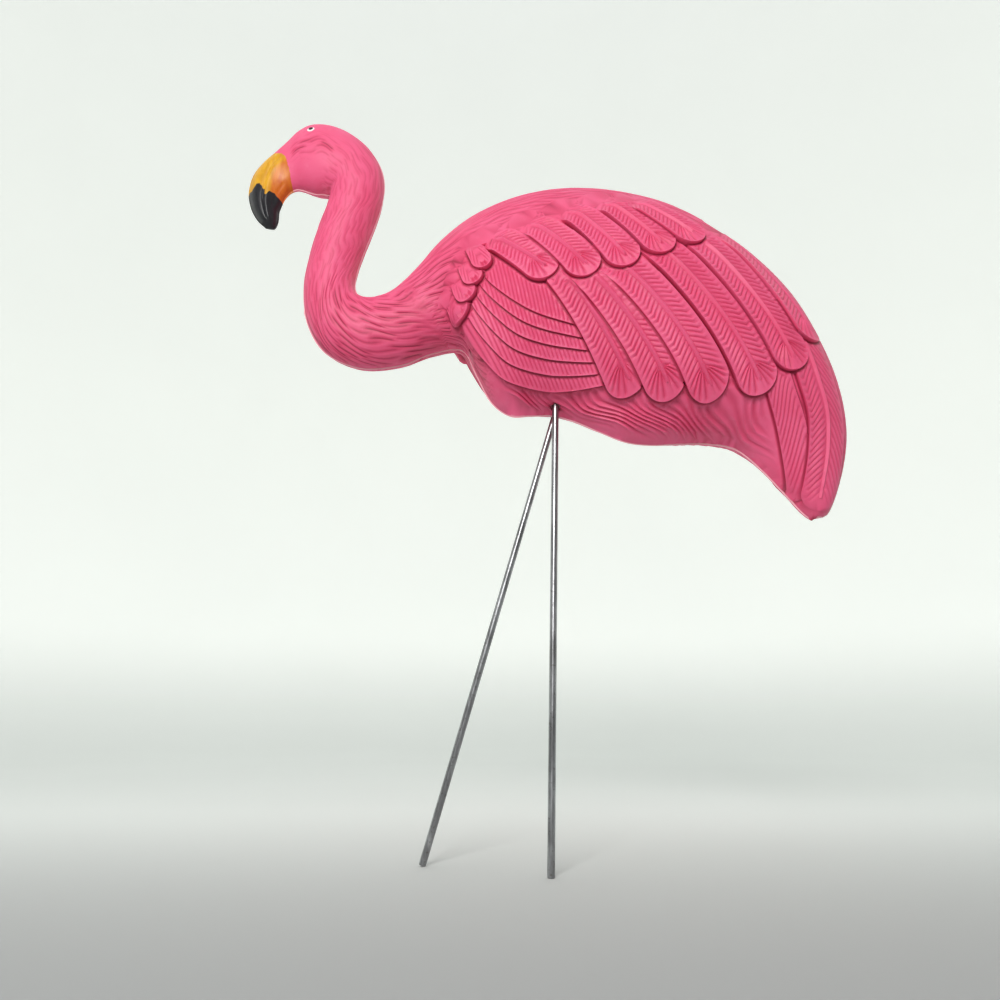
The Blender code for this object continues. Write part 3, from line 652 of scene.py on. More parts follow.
def carving(points, at, share):
    """Height over the smooth body, and how free each point is of painted shade, from 0 fully shaded deep
    in a groove or cut to 1. Layers cover each other in order. Beside a feather's edge the layer under it
    is calm, with a narrow cut that is painted dark as shade."""
    layers = [array.copy() for array in stroke_height(at, share)]
    level, cut, painted_shade = layers
    wing = np.zeros(len(points), dtype=bool)

    def cover(index, made):
        """One layer takes the place of what is under it."""
        for whole, part in zip(layers, made):
            whole[index] = part
        wing[index] = True

    def shade(index, beyond, strength):
        """The cut beside an edge, by the distance beyond it, with painted shade that stands for the shadow
        under the edge.
        """
        calm = 1 - strength * (1 - smooth((beyond - CALM_START) / CALM_RUN))
        foot = np.clip(1 - beyond / FOOT_RUN, 0, 1) * strength
        level[index] -= FOOT_DEPTH * foot
        cut[index] *= calm
        painted_shade[index] = np.maximum(painted_shade[index] * calm, smooth(1.5 * foot))

    *locks, covered = lock_height(points)
    cover(covered, [array[covered] for array in locks])
    fan_at, fan_share = FAN.place(points)
    near_fan = (fan_at > 0) & (fan_at < 1) & (np.abs(FAN.off_line(points, fan_at)) < 0.5)
    covered = near_fan & (fan_share > -FAN_MARGIN) & (fan_share < 1)
    cover(covered, fan_height(points[covered], fan_at[covered], fan_share[covered]))
    beyond = (fan_share - 1) * FAN_SPAN
    beside = np.flatnonzero(near_fan & (beyond >= 0) & (beyond < CALM_RUN + CALM_START))
    shade(beside, beyond[beside], smooth((fan_at[beside] - 0.02) / 0.3))
    for feather in FEATHERS:
        near = np.flatnonzero(feather.near(points))
        run, across, distance = feather.measure(points[near])
        beyond = distance - feather.width(run)
        inside = beyond < 0
        made = feather.height(run[inside], across[inside], distance[inside])
        under = [array[near[inside]] for array in layers]
        grown = smooth(run[inside] / ROOT_RUN)
        cover(near[inside], [old + (new - old) * grown for old, new in zip(under, made)])
        beside = (beyond >= 0) & (beyond < CALM_RUN + CALM_START)
        strength = smooth(run[beside] / feather.length / ROOT_BLEND)
        shade(near[beside], beyond[beside], strength)
    grown = smooth((share - BACK_FADE[0]) / (BACK_FADE[1] - BACK_FADE[0]))
    fade = BACK_RELIEF + (1 - BACK_RELIEF) * grown
    seam_fade = SEAM_FADE + BREAST_FADE * smooth((at - BREAST_STATION) / 1.5)
    fade = fade * smooth(((1 - share) * rail_gap(at) - 1.0) / seam_fade)
    height = level - cut
    height = np.where((at < NECK_START) & wing, height * fade, height)
    height = height * smooth(at / TIP_FADE)
    height = np.where(at > BILL_START - 0.6, bill_height(at, share), height)
    painted_shade = painted_shade * smooth(at / TIP_FADE)
    return height + small_forms(points, at, share), np.clip(1 - painted_shade, 0, 1)


print("layers:", 3 + len(FEATHERS))

# %% [markdown]
# ## Knitting the surface
# The mesh is made flat, in the side view: lines of points follow rails, quills, barbs and edges, and
# a Delaunay triangulation that keeps those lines knits them together. Then every point gets its
# width and its carving. Ridges this fine come out crisp because the triangles' edges lie along them.
# A plain grid or a sculpted remesh would need many times as many triangles.

# %% Lines of points
RING = 2.6                  # between stations along the rails
FLASH_HEIGHT = 1.0          # the thin line of plastic along the seam
FLASH_HALF = 0.4


class Net:
    """Points and edges for the triangulation."""

    def __init__(self):
        self.points = []
        self.edges = []
        self.count = 0

    def add(self, lines, keep=None):
        """Adds lines of points, an array (line, point, 2), joining neighbours that are both kept."""
        shape = lines.shape[:2]
        keep = np.ones(shape, dtype=bool) if keep is None else keep.reshape(shape)
        number = np.full(shape, -1)
        number[keep] = self.count + np.arange(keep.sum())
        both = keep[:, 1:] & keep[:, :-1]
        self.edges.append(np.column_stack([number[:, :-1][both], number[:, 1:][both]]))
        self.points.append(lines[keep])
        self.count += int(keep.sum())


def inside_rails(points, margin=0.9):
    """Which points lie in the side view, at least a margin off both rails."""
    at, share = MOULDING.place(points)
    chord = rail_gap(at)
    near = np.abs(MOULDING.off_line(points, at)) < 0.5
    return near & (share * chord > margin) & ((1 - share) * chord > margin)


def clear_of_wing(points, grow):
    """Which points lie off the feathers, the fan and the locks."""
    free = uncovered(points, FEATHERS, grow)
    at, share = FAN.place(points)
    margin = grow / FAN_SPAN
    off = np.abs(FAN.off_line(points, at)) > 1.0
    free &= off | (share < -FAN_MARGIN - margin) | (share > 1 + margin)
    at, share = LOCKS.place(points)
    off = np.abs(LOCKS.off_line(points, at)) > 1.0
    return free & (off | (share < -0.25) | (share > 1.02))


rings = station_at(np.arange(0, RUN[-1], RING))
rings = np.unique(np.concatenate([rings, station_at(np.arange(run_of(33.2), RUN[-1], 1.5)), [0, LAST]]))
rings = rings[np.concatenate([[True], np.diff(run_of(rings)) > 0.5])]
back = MOULDING.point(rings, np.zeros(len(rings)))
belly = MOULDING.point(rings, np.ones(len(rings)))
print(len(rings), "stations")

# %% The seam's border and the rail inside it
NUBS = ((-183.0, 515.0, 2.6), (346.0, 402.0, 1.6))     # small tags of flash: x, z, height


def flash_border(rail, inner):
    """The rail moved out of the bird: a step across the rail, higher at the tags."""
    way = np.gradient(rail, axis=0)
    aside = np.column_stack([-way[:, 1], way[:, 0]])
    aside /= np.linalg.norm(aside, axis=1)[:, None]
    aside *= np.sign(((rail - inner) * aside).sum(axis=1))[:, None]
    height = np.full(len(rail), FLASH_HEIGHT)
    for x, z, tall in NUBS:
        height += tall * np.exp(-(np.hypot(rail[:, 0] - x, rail[:, 1] - z) / 1.6) ** 2)
    return rail + aside * height[:, None]


net = Net()
back_border = flash_border(back, belly)
belly_border = flash_border(belly, back)
loop = np.vstack([back_border, belly_border[::-1], back_border[:1]])
net.add(loop[None])
net.add(np.stack([back[1:-1], belly[1:-1]]))
print("border", net.count, "points")

# %% Lines of the feathers
LINE_MARGIN = 0.85          # the lines of the barbs end this far inside the edge


def add_clear(lines, keep, above, grow):
    """Adds lines of points where they are kept, clear of the feathers above and inside the rails."""
    flat = lines.reshape(-1, 2)
    keep[keep] = uncovered(flat[keep], above, grow)
    keep[keep] = inside_rails(flat[keep])
    net.add(lines, keep)


for number, feather in enumerate(FEATHERS):
    above = FEATHERS[number + 1:]
    for lines in feather.lines():
        run, across, distance = feather.measure(lines.reshape(-1, 2))
        keep = (distance < feather.width(run) - LINE_MARGIN) & (run > 0.5)
        add_clear(lines, keep, above, CALM_RUN)
    for grow in (-EDGE_RUN / 2, EDGE_RUN / 8, FOOT_RUN / 2, FOOT_RUN):
        line = feather.outline(grow)
        add_clear(line[None], np.ones(len(line), dtype=bool), above, EDGE_RUN / 2 + 0.3)
print("with feathers", net.count, "points")

# %% Lines of the fan
FAN_EDGE_SHIFTS = (-0.5, 0.12, 1.4)     # lines beside a band's lower edge, in millimetres beyond it
FAN_LINE_MARGINS = (1.9, 0.9)           # lines of the stripes end this far inside a band's two edges
FAN_MARK_STEP = 2.9         # between points along a stripe
FAN_REACH = 70              # half the length of the longest stripe
FAN_STRIPES = 24            # stripes on either side of a band's middle
band_at = np.linspace(0.01, 0.99, 50)
for band in range(FAN_BANDS):
    for shift in FAN_EDGE_SHIFTS:
        share = (band + 1) / FAN_BANDS + shift / FAN_SPAN
        line = FAN.point(band_at, np.full(len(band_at), share))
        add_clear(line[None], np.ones(len(line), dtype=bool), FEATHERS, 0.8)
    angle = float(fan_angle(band))
    normal = np.array([math.sin(angle), math.cos(angle)])
    way = np.array([math.cos(angle), -math.sin(angle)])
    middle = FAN.point(np.array([0.5]), np.array([(band + 0.5) / FAN_BANDS]))[0]
    whole = np.arange(-FAN_STRIPES, FAN_STRIPES + 1) + round(float(middle @ normal) / FAN_PITCH)
    phase = (whole[:, None] + RIDGE_PLACES).ravel() - (FAN_SHIFT * band) % 1
    across = (phase * FAN_PITCH)[:, None, None] * normal
    marks = np.arange(-FAN_REACH, FAN_REACH + 1, FAN_MARK_STEP)
    along = (marks + float(middle @ way))[None, :, None] * way
    lines = across + along
    flat = lines.reshape(-1, 2)
    at, share = FAN.place(flat)
    low_share = (band / FAN_BANDS if band else -FAN_MARGIN) + FAN_LINE_MARGINS[0] / FAN_SPAN
    high_share = (band + 1) / FAN_BANDS - FAN_LINE_MARGINS[1] / FAN_SPAN
    keep = (share > low_share) & (share < high_share)
    keep &= (at > 0.01) & (at < 0.99) & (np.abs(FAN.off_line(flat, at)) < 0.3)
    add_clear(lines, keep, FEATHERS, CALM_RUN)
print("with the fan", net.count, "points")

# %% Lines of the locks
places = (np.arange(LOCK_COUNT)[:, None] + RIDGE_PLACES).ravel()[:, None]
share = np.linspace(-0.2, 0.97, 13)[None, :]
at = places / LOCK_COUNT + 0 * share
for _ in range(4):
    at = (places - lock_swing(at, share)) / LOCK_COUNT
flat = LOCKS.point(np.clip(at, 0, 1).ravel(), (share + 0 * at).ravel())
fan_at, fan_share = FAN.place(flat)
keep = ((at > 0.004) & (at < 0.996)).ravel()
keep &= (fan_share > 1 + 2.0 / FAN_SPAN) | (np.abs(FAN.off_line(flat, fan_at)) > 1.0)
add_clear(flat.reshape(at.shape + (2,)), keep, FEATHERS, CALM_RUN)
print("with the locks", net.count, "points")

# %% Strokes everywhere else
STROKE_BANDS = ((0.9, 6, 36, 5.5), (6, 14.1, 72, 5.5), (14.1, 16.6, 36, 3.6), (16.6, 23.0, 18, 3.0),
                (23.0, 27.5, 18, 3.6), (27.5, 33.0, 18, 3.0))   # first and last station, strokes, spacing


def stroke_lines(first, last, count, spacing, low=0.13, high=math.pi - 0.13):
    """Lines along the grooves and crests of the strokes, between two stations."""
    at = station_at(np.arange(run_of(first), run_of(last), spacing))[None, :]
    last_phase = count + 2 + int(count * STROKE_DRIFT / math.pi)
    phase = (np.arange(-1, last_phase)[:, None] + RIDGE_PLACES).ravel()[:, None]
    turn = np.clip(phase / count * math.pi + 0 * at, 0, math.pi)
    for _ in range(5):
        turn = (phase - stroke_wave(count, at, turn)) / count * math.pi
    fits = (turn > low) & (turn < high)
    share = (1 - np.cos(np.clip(turn, 0, math.pi))) / 2
    flat = MOULDING.point((at + 0 * turn).ravel(), share.ravel())
    return flat.reshape(turn.shape + (2,)), fits.ravel()


for stroke_band in STROKE_BANDS:
    lines, keep = stroke_lines(*stroke_band)
    flat = lines.reshape(-1, 2)
    keep[keep] = clear_of_wing(flat[keep], FOOT_RUN + 0.8)
    net.add(lines, keep)
print("with the strokes", net.count, "points")

# %% Bill, eye and the tail's end
at = station_at(np.arange(run_of(33.1), run_of(39.6), 1.5))
path = np.interp(at, GROOVE_STATIONS, GROOVE_SHARES)
offsets = np.array([-0.26, -0.18, -0.1, -0.05, -0.025, 0, 0.025, 0.05, 0.08, 0.11, 0.14, 0.18])
shares = np.vstack([path + offset for offset in offsets] + [np.full(len(at), s) for s in
                   (0.03, 0.8, MOUTH_SHARE - 0.03, MOUTH_SHARE, MOUTH_SHARE + 0.03, 0.93, 0.98)])
flat = MOULDING.point(np.tile(at, len(shares)), shares.ravel())
keep = ((shares > 0.02) & (shares < 0.985)).ravel()
net.add(flat.reshape(shares.shape + (2,)), keep)
print("points in all", net.count)

# %% [markdown]
# ## The skin
# The knitted triangles are lifted to the surface along its normals. The right half is the same
# moulding mirrored, sharing the points of the seam, so the bird is one closed skin.

# %% Triangles, widths and carving
flat = np.vstack(net.points)
edges = np.vstack(net.edges)
result = delaunay_2d_cdt([Vector(p) for p in flat.tolist()], edges.tolist(), [], 1, 1e-3)
flat = np.array([tuple(p) for p in result[0]])
triangles = np.array([face for face in result[2]])
print("knitted", len(flat), "points,", len(triangles), "triangles")

sides = np.sort(np.vstack([triangles[:, [0, 1]], triangles[:, [1, 2]], triangles[:, [2, 0]]]), axis=1)
pairs, uses = np.unique(sides, axis=0, return_counts=True)
border = np.zeros(len(flat), dtype=bool)
border[pairs[uses == 1].ravel()] = True
at, share = MOULDING.place(flat)
turn = np.arccos(1 - 2 * np.clip(share, 0, 1))
height, unshaded = carving(flat, at, share)
left = surface(at, turn)
left[:, 0] = flat[:, 0]
left[:, 2] = flat[:, 1]
left += outward(at, turn) * np.where(border, 0, height)[:, None]
left[:, 1] = np.where(border, 0, np.minimum(left[:, 1], -FLASH_HALF))
print("lifted", round(float(-left[:, 1].min()), 1), "mm at the widest")

# %% Both halves as one mesh, set to the construction's size
drawn_x = np.concatenate([back[:, 0], belly[:, 0]])
drawn_z = np.concatenate([back[:, 1], belly[:, 1]])
body_low, body_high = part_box("body")
UNIT = (body_high.z - body_low.z) / (drawn_z.max() - drawn_z.min())
SHIFT = np.array([body_high.x - drawn_x.max() * UNIT, 0, body_high.z - drawn_z.max() * UNIT])

inner = np.flatnonzero(~border)
mirrored = np.arange(len(left))
mirrored[inner] = len(left) + np.arange(len(inner))
points = np.vstack([left, left[inner] * (1, -1, 1)]) * UNIT + SHIFT
faces = np.vstack([triangles, mirrored[triangles][:, ::-1]])
corner = points[triangles]
facing = np.cross(corner[:, 1] - corner[:, 0], corner[:, 2] - corner[:, 0])[:, 1].sum()
if facing > 0:
    faces = faces[:, ::-1]
both = np.concatenate([np.arange(len(left)), inner])


def put_in_scene(name, data):
    """A new object at the origin."""
    piece = bpy.data.objects.new(name, data)
    bpy.context.scene.collection.objects.link(piece)
    return piece


def new_mesh(name, points, faces):
    """A mesh from an array of points and one of triangles."""
    mesh = bpy.data.meshes.new(name)
    mesh.vertices.add(len(points))
    mesh.vertices.foreach_set("co", points.astype(np.float32).ravel())
    mesh.loops.add(faces.size)
    mesh.loops.foreach_set("vertex_index", faces.astype(np.int32).ravel())
    mesh.polygons.add(len(faces))
    mesh.polygons.foreach_set("loop_start", np.arange(0, faces.size, 3, dtype=np.int32))
    mesh.update(calc_edges=True)
    mesh.validate()
    return mesh


skin = new_mesh("flamingo_skin", points, faces)
on_rail = np.abs(np.abs(2 * share - 1) - 1) < 1e-4
# The first of these values sets the shade painted into the pink in grooves and cuts: 1 where none is
# painted, 0 where it is full.
values = {"unshaded": unshaded[both], "flash": np.where(border, 1.0, np.where(on_rail, 0.5, 0.0))[both],
          "along": (at / LAST)[both], "across": np.clip(share, 0, 1)[both]}
for name, numbers in values.items():
    attribute = skin.attributes.new(name, "FLOAT", "POINT")
    attribute.data.foreach_set("value", numbers.astype(np.float32))
bird = put_in_scene("flamingo_skin", skin)
print("skin", len(skin.vertices), "points,", len(skin.polygons), "triangles")

# %% [markdown]
# ## Holes and rods
# Each rod goes into a hole beside the seam. The hole is wider at its mouth, so a dark ring shows.
# Rods and hole cutters are the same turned form: a row of radii along a straight line.

# %% A turned form along a line
def ring_faces(rows, count):
    """Four-sided faces between neighbouring rings of as many points each."""
    row, place = np.meshgrid(np.arange(rows - 1), np.arange(count), indexing="ij")
    following = (place + 1) % count
    return np.stack([row * count + place, row * count + following,
                     (row + 1) * count + following, (row + 1) * count + place], axis=-1).reshape(-1, 4)


def turned(name, start, way, runs, radii, count):
    """Rings of points: start + run * way + radius * (cos u * side + sin u * other), with flat ends."""
    side = np.cross(way, (0.0, 1.0, 0.0))
    side /= np.linalg.norm(side)
    other = np.cross(way, side)
    u = np.linspace(0, 2 * math.pi, count, endpoint=False)
    ring = np.cos(u)[:, None] * side + np.sin(u)[:, None] * other
    rings = start + runs[:, None, None] * way + radii[:, None, None] * ring
    end = (len(runs) - 1) * count
    caps = [list(range(count))[::-1], list(range(end, end + count))]
    mesh = bpy.data.meshes.new(name)
    mesh.from_pydata(rings.reshape(-1, 3).tolist(), [], ring_faces(len(runs), count).tolist() + caps)
    mesh.update()
    return put_in_scene(name, mesh)


# %% Rods and their holes
HOLE_HEIGHT = 0.404
MOUTH_RADIUS = 0.00475
MOUTH_DEPTH = 0.009
CLEARANCE = 0.0003
ROD_RADIUS = 0.003175
mounts = {mount["name"]: mount for mount in frame["record"]["mounts"]}
rods = []
cutters = []
for side in ("left", "right"):
    mount = mounts[side + "_foot"]
    foot = np.array(mount["pos_m"])
    way = -np.array(mount["axis"])
    way /= np.linalg.norm(way)
    low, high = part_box(side + "_leg")
    length = (high.z - low.z - 2 * ROD_RADIUS * math.hypot(way[0], way[1])) / way[2]
    runs = np.array([0, 0.0005, 0.0012, 0.003] + list(np.linspace(0.01, length - 0.001, 60)) + [length])
    radii = np.full(len(runs), ROD_RADIUS)
    radii[0] = ROD_RADIUS * 0.9
    radii[1] = ROD_RADIUS * 1.02
    radii += 0.00002 * np.sin(runs * 190) * (runs > 0.005)
    rods.append(turned(side + "_rod", foot, way, runs, radii, 40))
    hole = (HOLE_HEIGHT - foot[2]) / way[2]
    cut = np.array([hole - 0.05, hole + MOUTH_DEPTH - 0.001, hole + MOUTH_DEPTH, length + CLEARANCE])
    wide = np.array([MOUTH_RADIUS, MOUTH_RADIUS, ROD_RADIUS + CLEARANCE, ROD_RADIUS + CLEARANCE])
    cutters.append(turned(side + "_hole", foot, way, cut, wide, 40))
    print(side, "rod", round(length, 3), "m")

# %% The slot at the tail's tip
SLOT_CENTRE = np.array((306.0, 0.0, 299.0))
SLOT_HALF = np.array((2.2, 3.0, 4.0))
corners = np.array([(x, y, z) for x in (-1, 1) for y in (-1, 1) for z in (-1, 1)], dtype=float)
slot_mesh = bpy.data.meshes.new("tail_slot")
slot_faces = [(0, 1, 3, 2), (4, 6, 7, 5), (0, 4, 5, 1), (2, 3, 7, 6), (0, 2, 6, 4), (1, 5, 7, 3)]
slot_mesh.from_pydata(((SLOT_CENTRE + corners * SLOT_HALF) * UNIT + SHIFT).tolist(), [], slot_faces)
cutters.append(put_in_scene("tail_slot", slot_mesh))

for cutter in cutters:
    cut = bird.modifiers.new(cutter.name, "BOOLEAN")
    cut.operation = "DIFFERENCE"
    cut.solver = "EXACT"
    cut.object = cutter
bpy.context.view_layer.update()
whole = bpy.data.meshes.new_from_object(bird.evaluated_get(bpy.context.evaluated_depsgraph_get()))
bird.modifiers.clear()
bird.data = whole
for cutter in cutters:
    bpy.data.objects.remove(cutter)
whole.shade_smooth()
whole.set_sharp_from_angle(angle=math.radians(52))
for rod in rods:
    rod.data.shade_smooth()
    rod.data.set_sharp_from_angle(angle=math.radians(35))
triangle_count = sum(len(polygon.vertices) - 2 for polygon in whole.polygons)
print("cut skin", len(whole.vertices), "points,", triangle_count, "triangles")

# %% [markdown]
# ## Finishes
# The plastic is coloured through, with a soft sheen. Shade in its grooves and in the cuts under the
# feathers' edges is painted into it as darker pink, and its seam line is almost white. Yellow, orange and
# black on the bill and the white and black of the eye are brushed on. Each border is a formula in the
# moulding's own two directions, so it stays sharp close up.

# %% Node helpers
class Nodes:
    """A small writer of shader nodes for one material."""

    def __init__(self, name):
        self.material = bpy.data.materials.new(name)
        self.material.use_nodes = True
        self.tree = self.material.node_tree
        self.shader = self.tree.nodes["Principled BSDF"]

    def put(self, socket, value):
        """Links a node's output into a socket, or sets the socket to a plain value."""
        if isinstance(value, bpy.types.NodeSocket):
            self.tree.links.new(value, socket)
        else:
            socket.default_value = value

    def math(self, operation, first, second=0.0, clamp=False):
        """One sum, product or comparison."""
        node = self.tree.nodes.new("ShaderNodeMath")
        node.operation = operation
        node.use_clamp = clamp
        self.put(node.inputs[0], first)
        self.put(node.inputs[1], second)
        return node.outputs[0]

    def plus(self, first, second):
        """A sum."""
        return self.math("ADD", first, second)

    def minus(self, first, second):
        """A difference."""
        return self.math("SUBTRACT", first, second)

    def times(self, first, second):
        """A product."""
        return self.math("MULTIPLY", first, second)

    def hump(self, value, centre, sharpness, height):
        """A parabola that ends at zero: height * (1 - (sharpness * (value - centre))^2)."""
        square = self.math("POWER", self.times(self.minus(value, centre), sharpness), 2.0)
        return self.times(self.math("SUBTRACT", 1.0, square, clamp=True), height)

    def ramp(self, value, low, high):
        """Goes from 0 to 1 as the value goes from low to high."""
        node = self.tree.nodes.new("ShaderNodeMapRange")
        node.interpolation_type = "SMOOTHSTEP"
        self.put(node.inputs["Value"], value)
        self.put(node.inputs["From Min"], low)
        self.put(node.inputs["From Max"], high)
        return node.outputs["Result"]

    def mix(self, factor, first, second):
        """A blend of two colours."""
        node = self.tree.nodes.new("ShaderNodeMix")
        node.data_type = "RGBA"
        self.put(node.inputs[0], factor)
        self.put(node.inputs[6], first)
        self.put(node.inputs[7], second)
        return node.outputs[2]

    def attribute(self, name):
        """A value stored on the mesh."""
        node = self.tree.nodes.new("ShaderNodeAttribute")
        node.attribute_name = name
        return node.outputs["Fac"]

    def place(self):
        """x, y and z of the object's own coordinates."""
        parts = self.tree.nodes.new("ShaderNodeSeparateXYZ")
        source = self.tree.nodes.new("ShaderNodeTexCoord")
        self.tree.links.new(source.outputs["Object"], parts.inputs[0])
        return parts.outputs

    def noise(self, scale, detail=3.0, roughness=0.5, stretch=(1, 1, 1)):
        """Noise in the object's own coordinates."""
        place = self.tree.nodes.new("ShaderNodeTexCoord")
        mapping = self.tree.nodes.new("ShaderNodeMapping")
        mapping.inputs["Scale"].default_value = stretch
        self.tree.links.new(place.outputs["Object"], mapping.inputs["Vector"])
        node = self.tree.nodes.new("ShaderNodeTexNoise")
        node.inputs["Scale"].default_value = scale
        node.inputs["Detail"].default_value = detail
        node.inputs["Roughness"].default_value = roughness
        self.tree.links.new(mapping.outputs[0], node.inputs["Vector"])
        return node.outputs["Fac"]

    def bump(self, height, distance, strength):
        """Fine relief from a height."""
        node = self.tree.nodes.new("ShaderNodeBump")
        node.inputs["Distance"].default_value = distance
        node.inputs["Strength"].default_value = strength
        self.put(node.inputs["Height"], height)
        self.tree.links.new(node.outputs[0], self.shader.inputs["Normal"])


def linear(red, green, blue):
    """A colour given as it shows on a screen, 0 to 255, made linear."""
    share = np.array([red, green, blue]) / 255
    value = np.where(share < 0.04045, share / 12.92, ((share + 0.055) / 1.055) ** 2.4)
    return (*value.tolist(), 1.0)


print("pink", [round(v, 2) for v in linear(244, 110, 152)])

# %% The pink
def pink_colour(n, mottle):
    """Two pinks in clouds with paler specks, painted shade in grooves and cuts, and almost white on the
    flash.
    """
    unshaded = n.attribute("unshaded")
    pink = n.mix(n.ramp(n.noise(22.0), 0.3, 0.7), linear(238, 87, 130), linear(243, 99, 142))
    pink = n.mix(n.times(n.ramp(mottle, 0.52, 0.75), 0.2), pink, linear(246, 130, 162))
    # Painted shade: darker pink in the grooves, and darkest in the cuts beside feather edges and under the
    # tips.
    pink = n.mix(n.times(n.ramp(unshaded, 0.95, 0.4), 0.6), pink, linear(206, 48, 92))
    pink = n.mix(n.times(n.ramp(unshaded, 0.5, 0.0), 0.8), pink, linear(150, 22, 56))
    flash = n.ramp(n.attribute("flash"), 0.44, 0.52)
    return n.mix(n.times(flash, 0.75), pink, linear(252, 196, 204))


# %% The painted bill
def bill_paint(n, along, across):
    """Where paint covers the pink, where it is black, and its colour. Each border is a station worked
    out from the share: a curve where the paint starts, and a slanted line with a notch and a hump."""
    wobble = n.times(n.minus(n.noise(260.0, 2.0), 0.5), 0.25)
    place = n.plus(along, wobble)
    base = n.plus(n.times(across, -3.4), n.times(n.times(across, across), 1.55))
    painted = n.ramp(n.minus(place, n.plus(base, 34.4)), -0.03, 0.06)
    streak = n.ramp(n.noise(160.0, 2.0, 0.5, (1.0, 0.4, 0.35)), 0.35, 0.65)
    yellow = n.mix(streak, linear(212, 150, 18), linear(232, 172, 30))
    orange = n.mix(streak, linear(208, 104, 18), linear(226, 132, 28))
    border = n.plus(n.times(n.ramp(along, 34.0, 36.6), 0.26), 0.42)
    bill = n.mix(n.ramp(n.minus(across, border), -0.02, 0.16), yellow, orange)
    bill = n.mix(n.times(n.ramp(across, 0.72, 0.95), 0.5), bill, linear(206, 96, 28))
    tip = n.plus(n.times(across, -1.75), 37.25)
    tip = n.plus(tip, n.plus(n.hump(across, 0.63, 16.0, 0.5), n.hump(across, 0.34, 6.0, -0.35)))
    black = n.ramp(n.minus(place, tip), -0.03, 0.05)
    return painted, black, n.mix(black, bill, linear(34, 33, 38))


# %% The painted eye
PUPIL_RADIUS = 0.0026
WHITE_RADIUS = 0.0042
PUPIL_RISE = 0.0007         # the pupil sits high in the white
WHITE_SHIFT = (0.0004, -0.0012)


def eye_paint(n, colour):
    """A white disc with a black one, on either side of the head: discs of the side view."""
    x, _, z = n.place()
    eye_x = EYE[0] * UNIT + SHIFT[0]
    eye_z = EYE[1] * UNIT + SHIFT[2]

    def away(centre_x, centre_z):
        """Distance from a point of the side view."""
        gap_x = n.math("POWER", n.minus(x, float(centre_x)), 2.0)
        gap_z = n.math("POWER", n.minus(z, float(centre_z)), 2.0)
        return n.math("SQRT", n.plus(gap_x, gap_z))

    white = away(eye_x + WHITE_SHIFT[0], eye_z + WHITE_SHIFT[1])
    white = n.ramp(white, WHITE_RADIUS, WHITE_RADIUS - 0.0004)
    pupil = n.ramp(away(eye_x, eye_z + PUPIL_RISE), PUPIL_RADIUS, PUPIL_RADIUS - 0.0003)
    return n.mix(pupil, n.mix(white, colour, linear(246, 238, 238)), linear(26, 18, 22))


# %% The plastic with its paint
def plastic():
    """Coloured-through plastic with a soft sheen, glossier where it is painted."""
    n = Nodes("pink_plastic")
    mottle = n.noise(140.0, 3.0, 0.6)
    along = n.times(n.attribute("along"), float(LAST))
    painted, black, bill = bill_paint(n, along, n.attribute("across"))
    colour = n.mix(painted, pink_colour(n, mottle), bill)
    n.put(n.shader.inputs["Base Color"], eye_paint(n, colour))
    rough = n.plus(n.times(mottle, 0.16), 0.46)
    rough = n.minus(rough, n.times(painted, 0.1))
    n.put(n.shader.inputs["Roughness"], n.minus(rough, n.times(n.times(painted, black), 0.1)))
    n.shader.inputs["Specular IOR Level"].default_value = 0.45
    n.shader.inputs["Subsurface Weight"].default_value = 0.12
    n.shader.inputs["Subsurface Radius"].default_value = (0.004, 0.0015, 0.002)
    n.shader.inputs["Subsurface Scale"].default_value = 1.0
    n.bump(n.plus(n.times(mottle, 0.6), n.times(n.noise(900.0, 2.0), 0.4)), 0.0006, 0.28)
    return n.material


bird.data.materials.clear()
bird.data.materials.append(plastic())
print("plastic painted by place")

# %% Galvanised steel
def steel():
    """Bright drawn wire with a thin uneven zinc coat: long streaks, blotches and a few dull spots."""
    n = Nodes("galvanised_steel")
    streaks = n.noise(700.0, 2.0, 0.6, (1.0, 1.0, 0.02))
    blotch = n.noise(120.0, 3.0, 0.6, (1.0, 1.0, 0.25))
    spots = n.noise(420.0, 1.0)
    colour = n.mix(n.ramp(blotch, 0.35, 0.68), linear(140, 140, 142), linear(178, 179, 182))
    colour = n.mix(n.times(n.ramp(streaks, 0.5, 0.8), 0.5), colour, linear(96, 96, 99))
    colour = n.mix(n.times(n.ramp(spots, 0.62, 0.74), 0.5), colour, linear(96, 88, 82))
    n.put(n.shader.inputs["Base Color"], colour)
    n.shader.inputs["Metallic"].default_value = 1.0
    n.put(n.shader.inputs["Roughness"], n.plus(n.times(blotch, 0.24), 0.2))
    n.bump(n.plus(streaks, n.times(spots, 0.6)), 0.0003, 0.25)
    return n.material


galvanised = steel()
for rod in rods:
    rod.data.materials.append(galvanised)
print(len(rods), "rods finished")

# %% Ride on the root and replace the construction's parts
for piece, node, slot_name in ((bird, "body", "plastic"), (rods[0], "left_leg", "rod"),
                               (rods[1], "right_leg", "rod")):
    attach(piece, "root")
    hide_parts(node)

# %% [markdown]
# ## Stage, light and camera
# A pale floor turns up into a round pale wall far behind, as on a studio sweep. One large soft light
# stands in front, above and a little to the left, so the carving shows in soft shade. A pale world
# fills the rest, and the wall glows a little, which takes a second light's place.

# %% Floor that turns up into a round wall
FLAT_RADIUS = 2.0
WALL_RADIUS = 1.8
WALL_TOP = 8.0
GLOW = 0.35


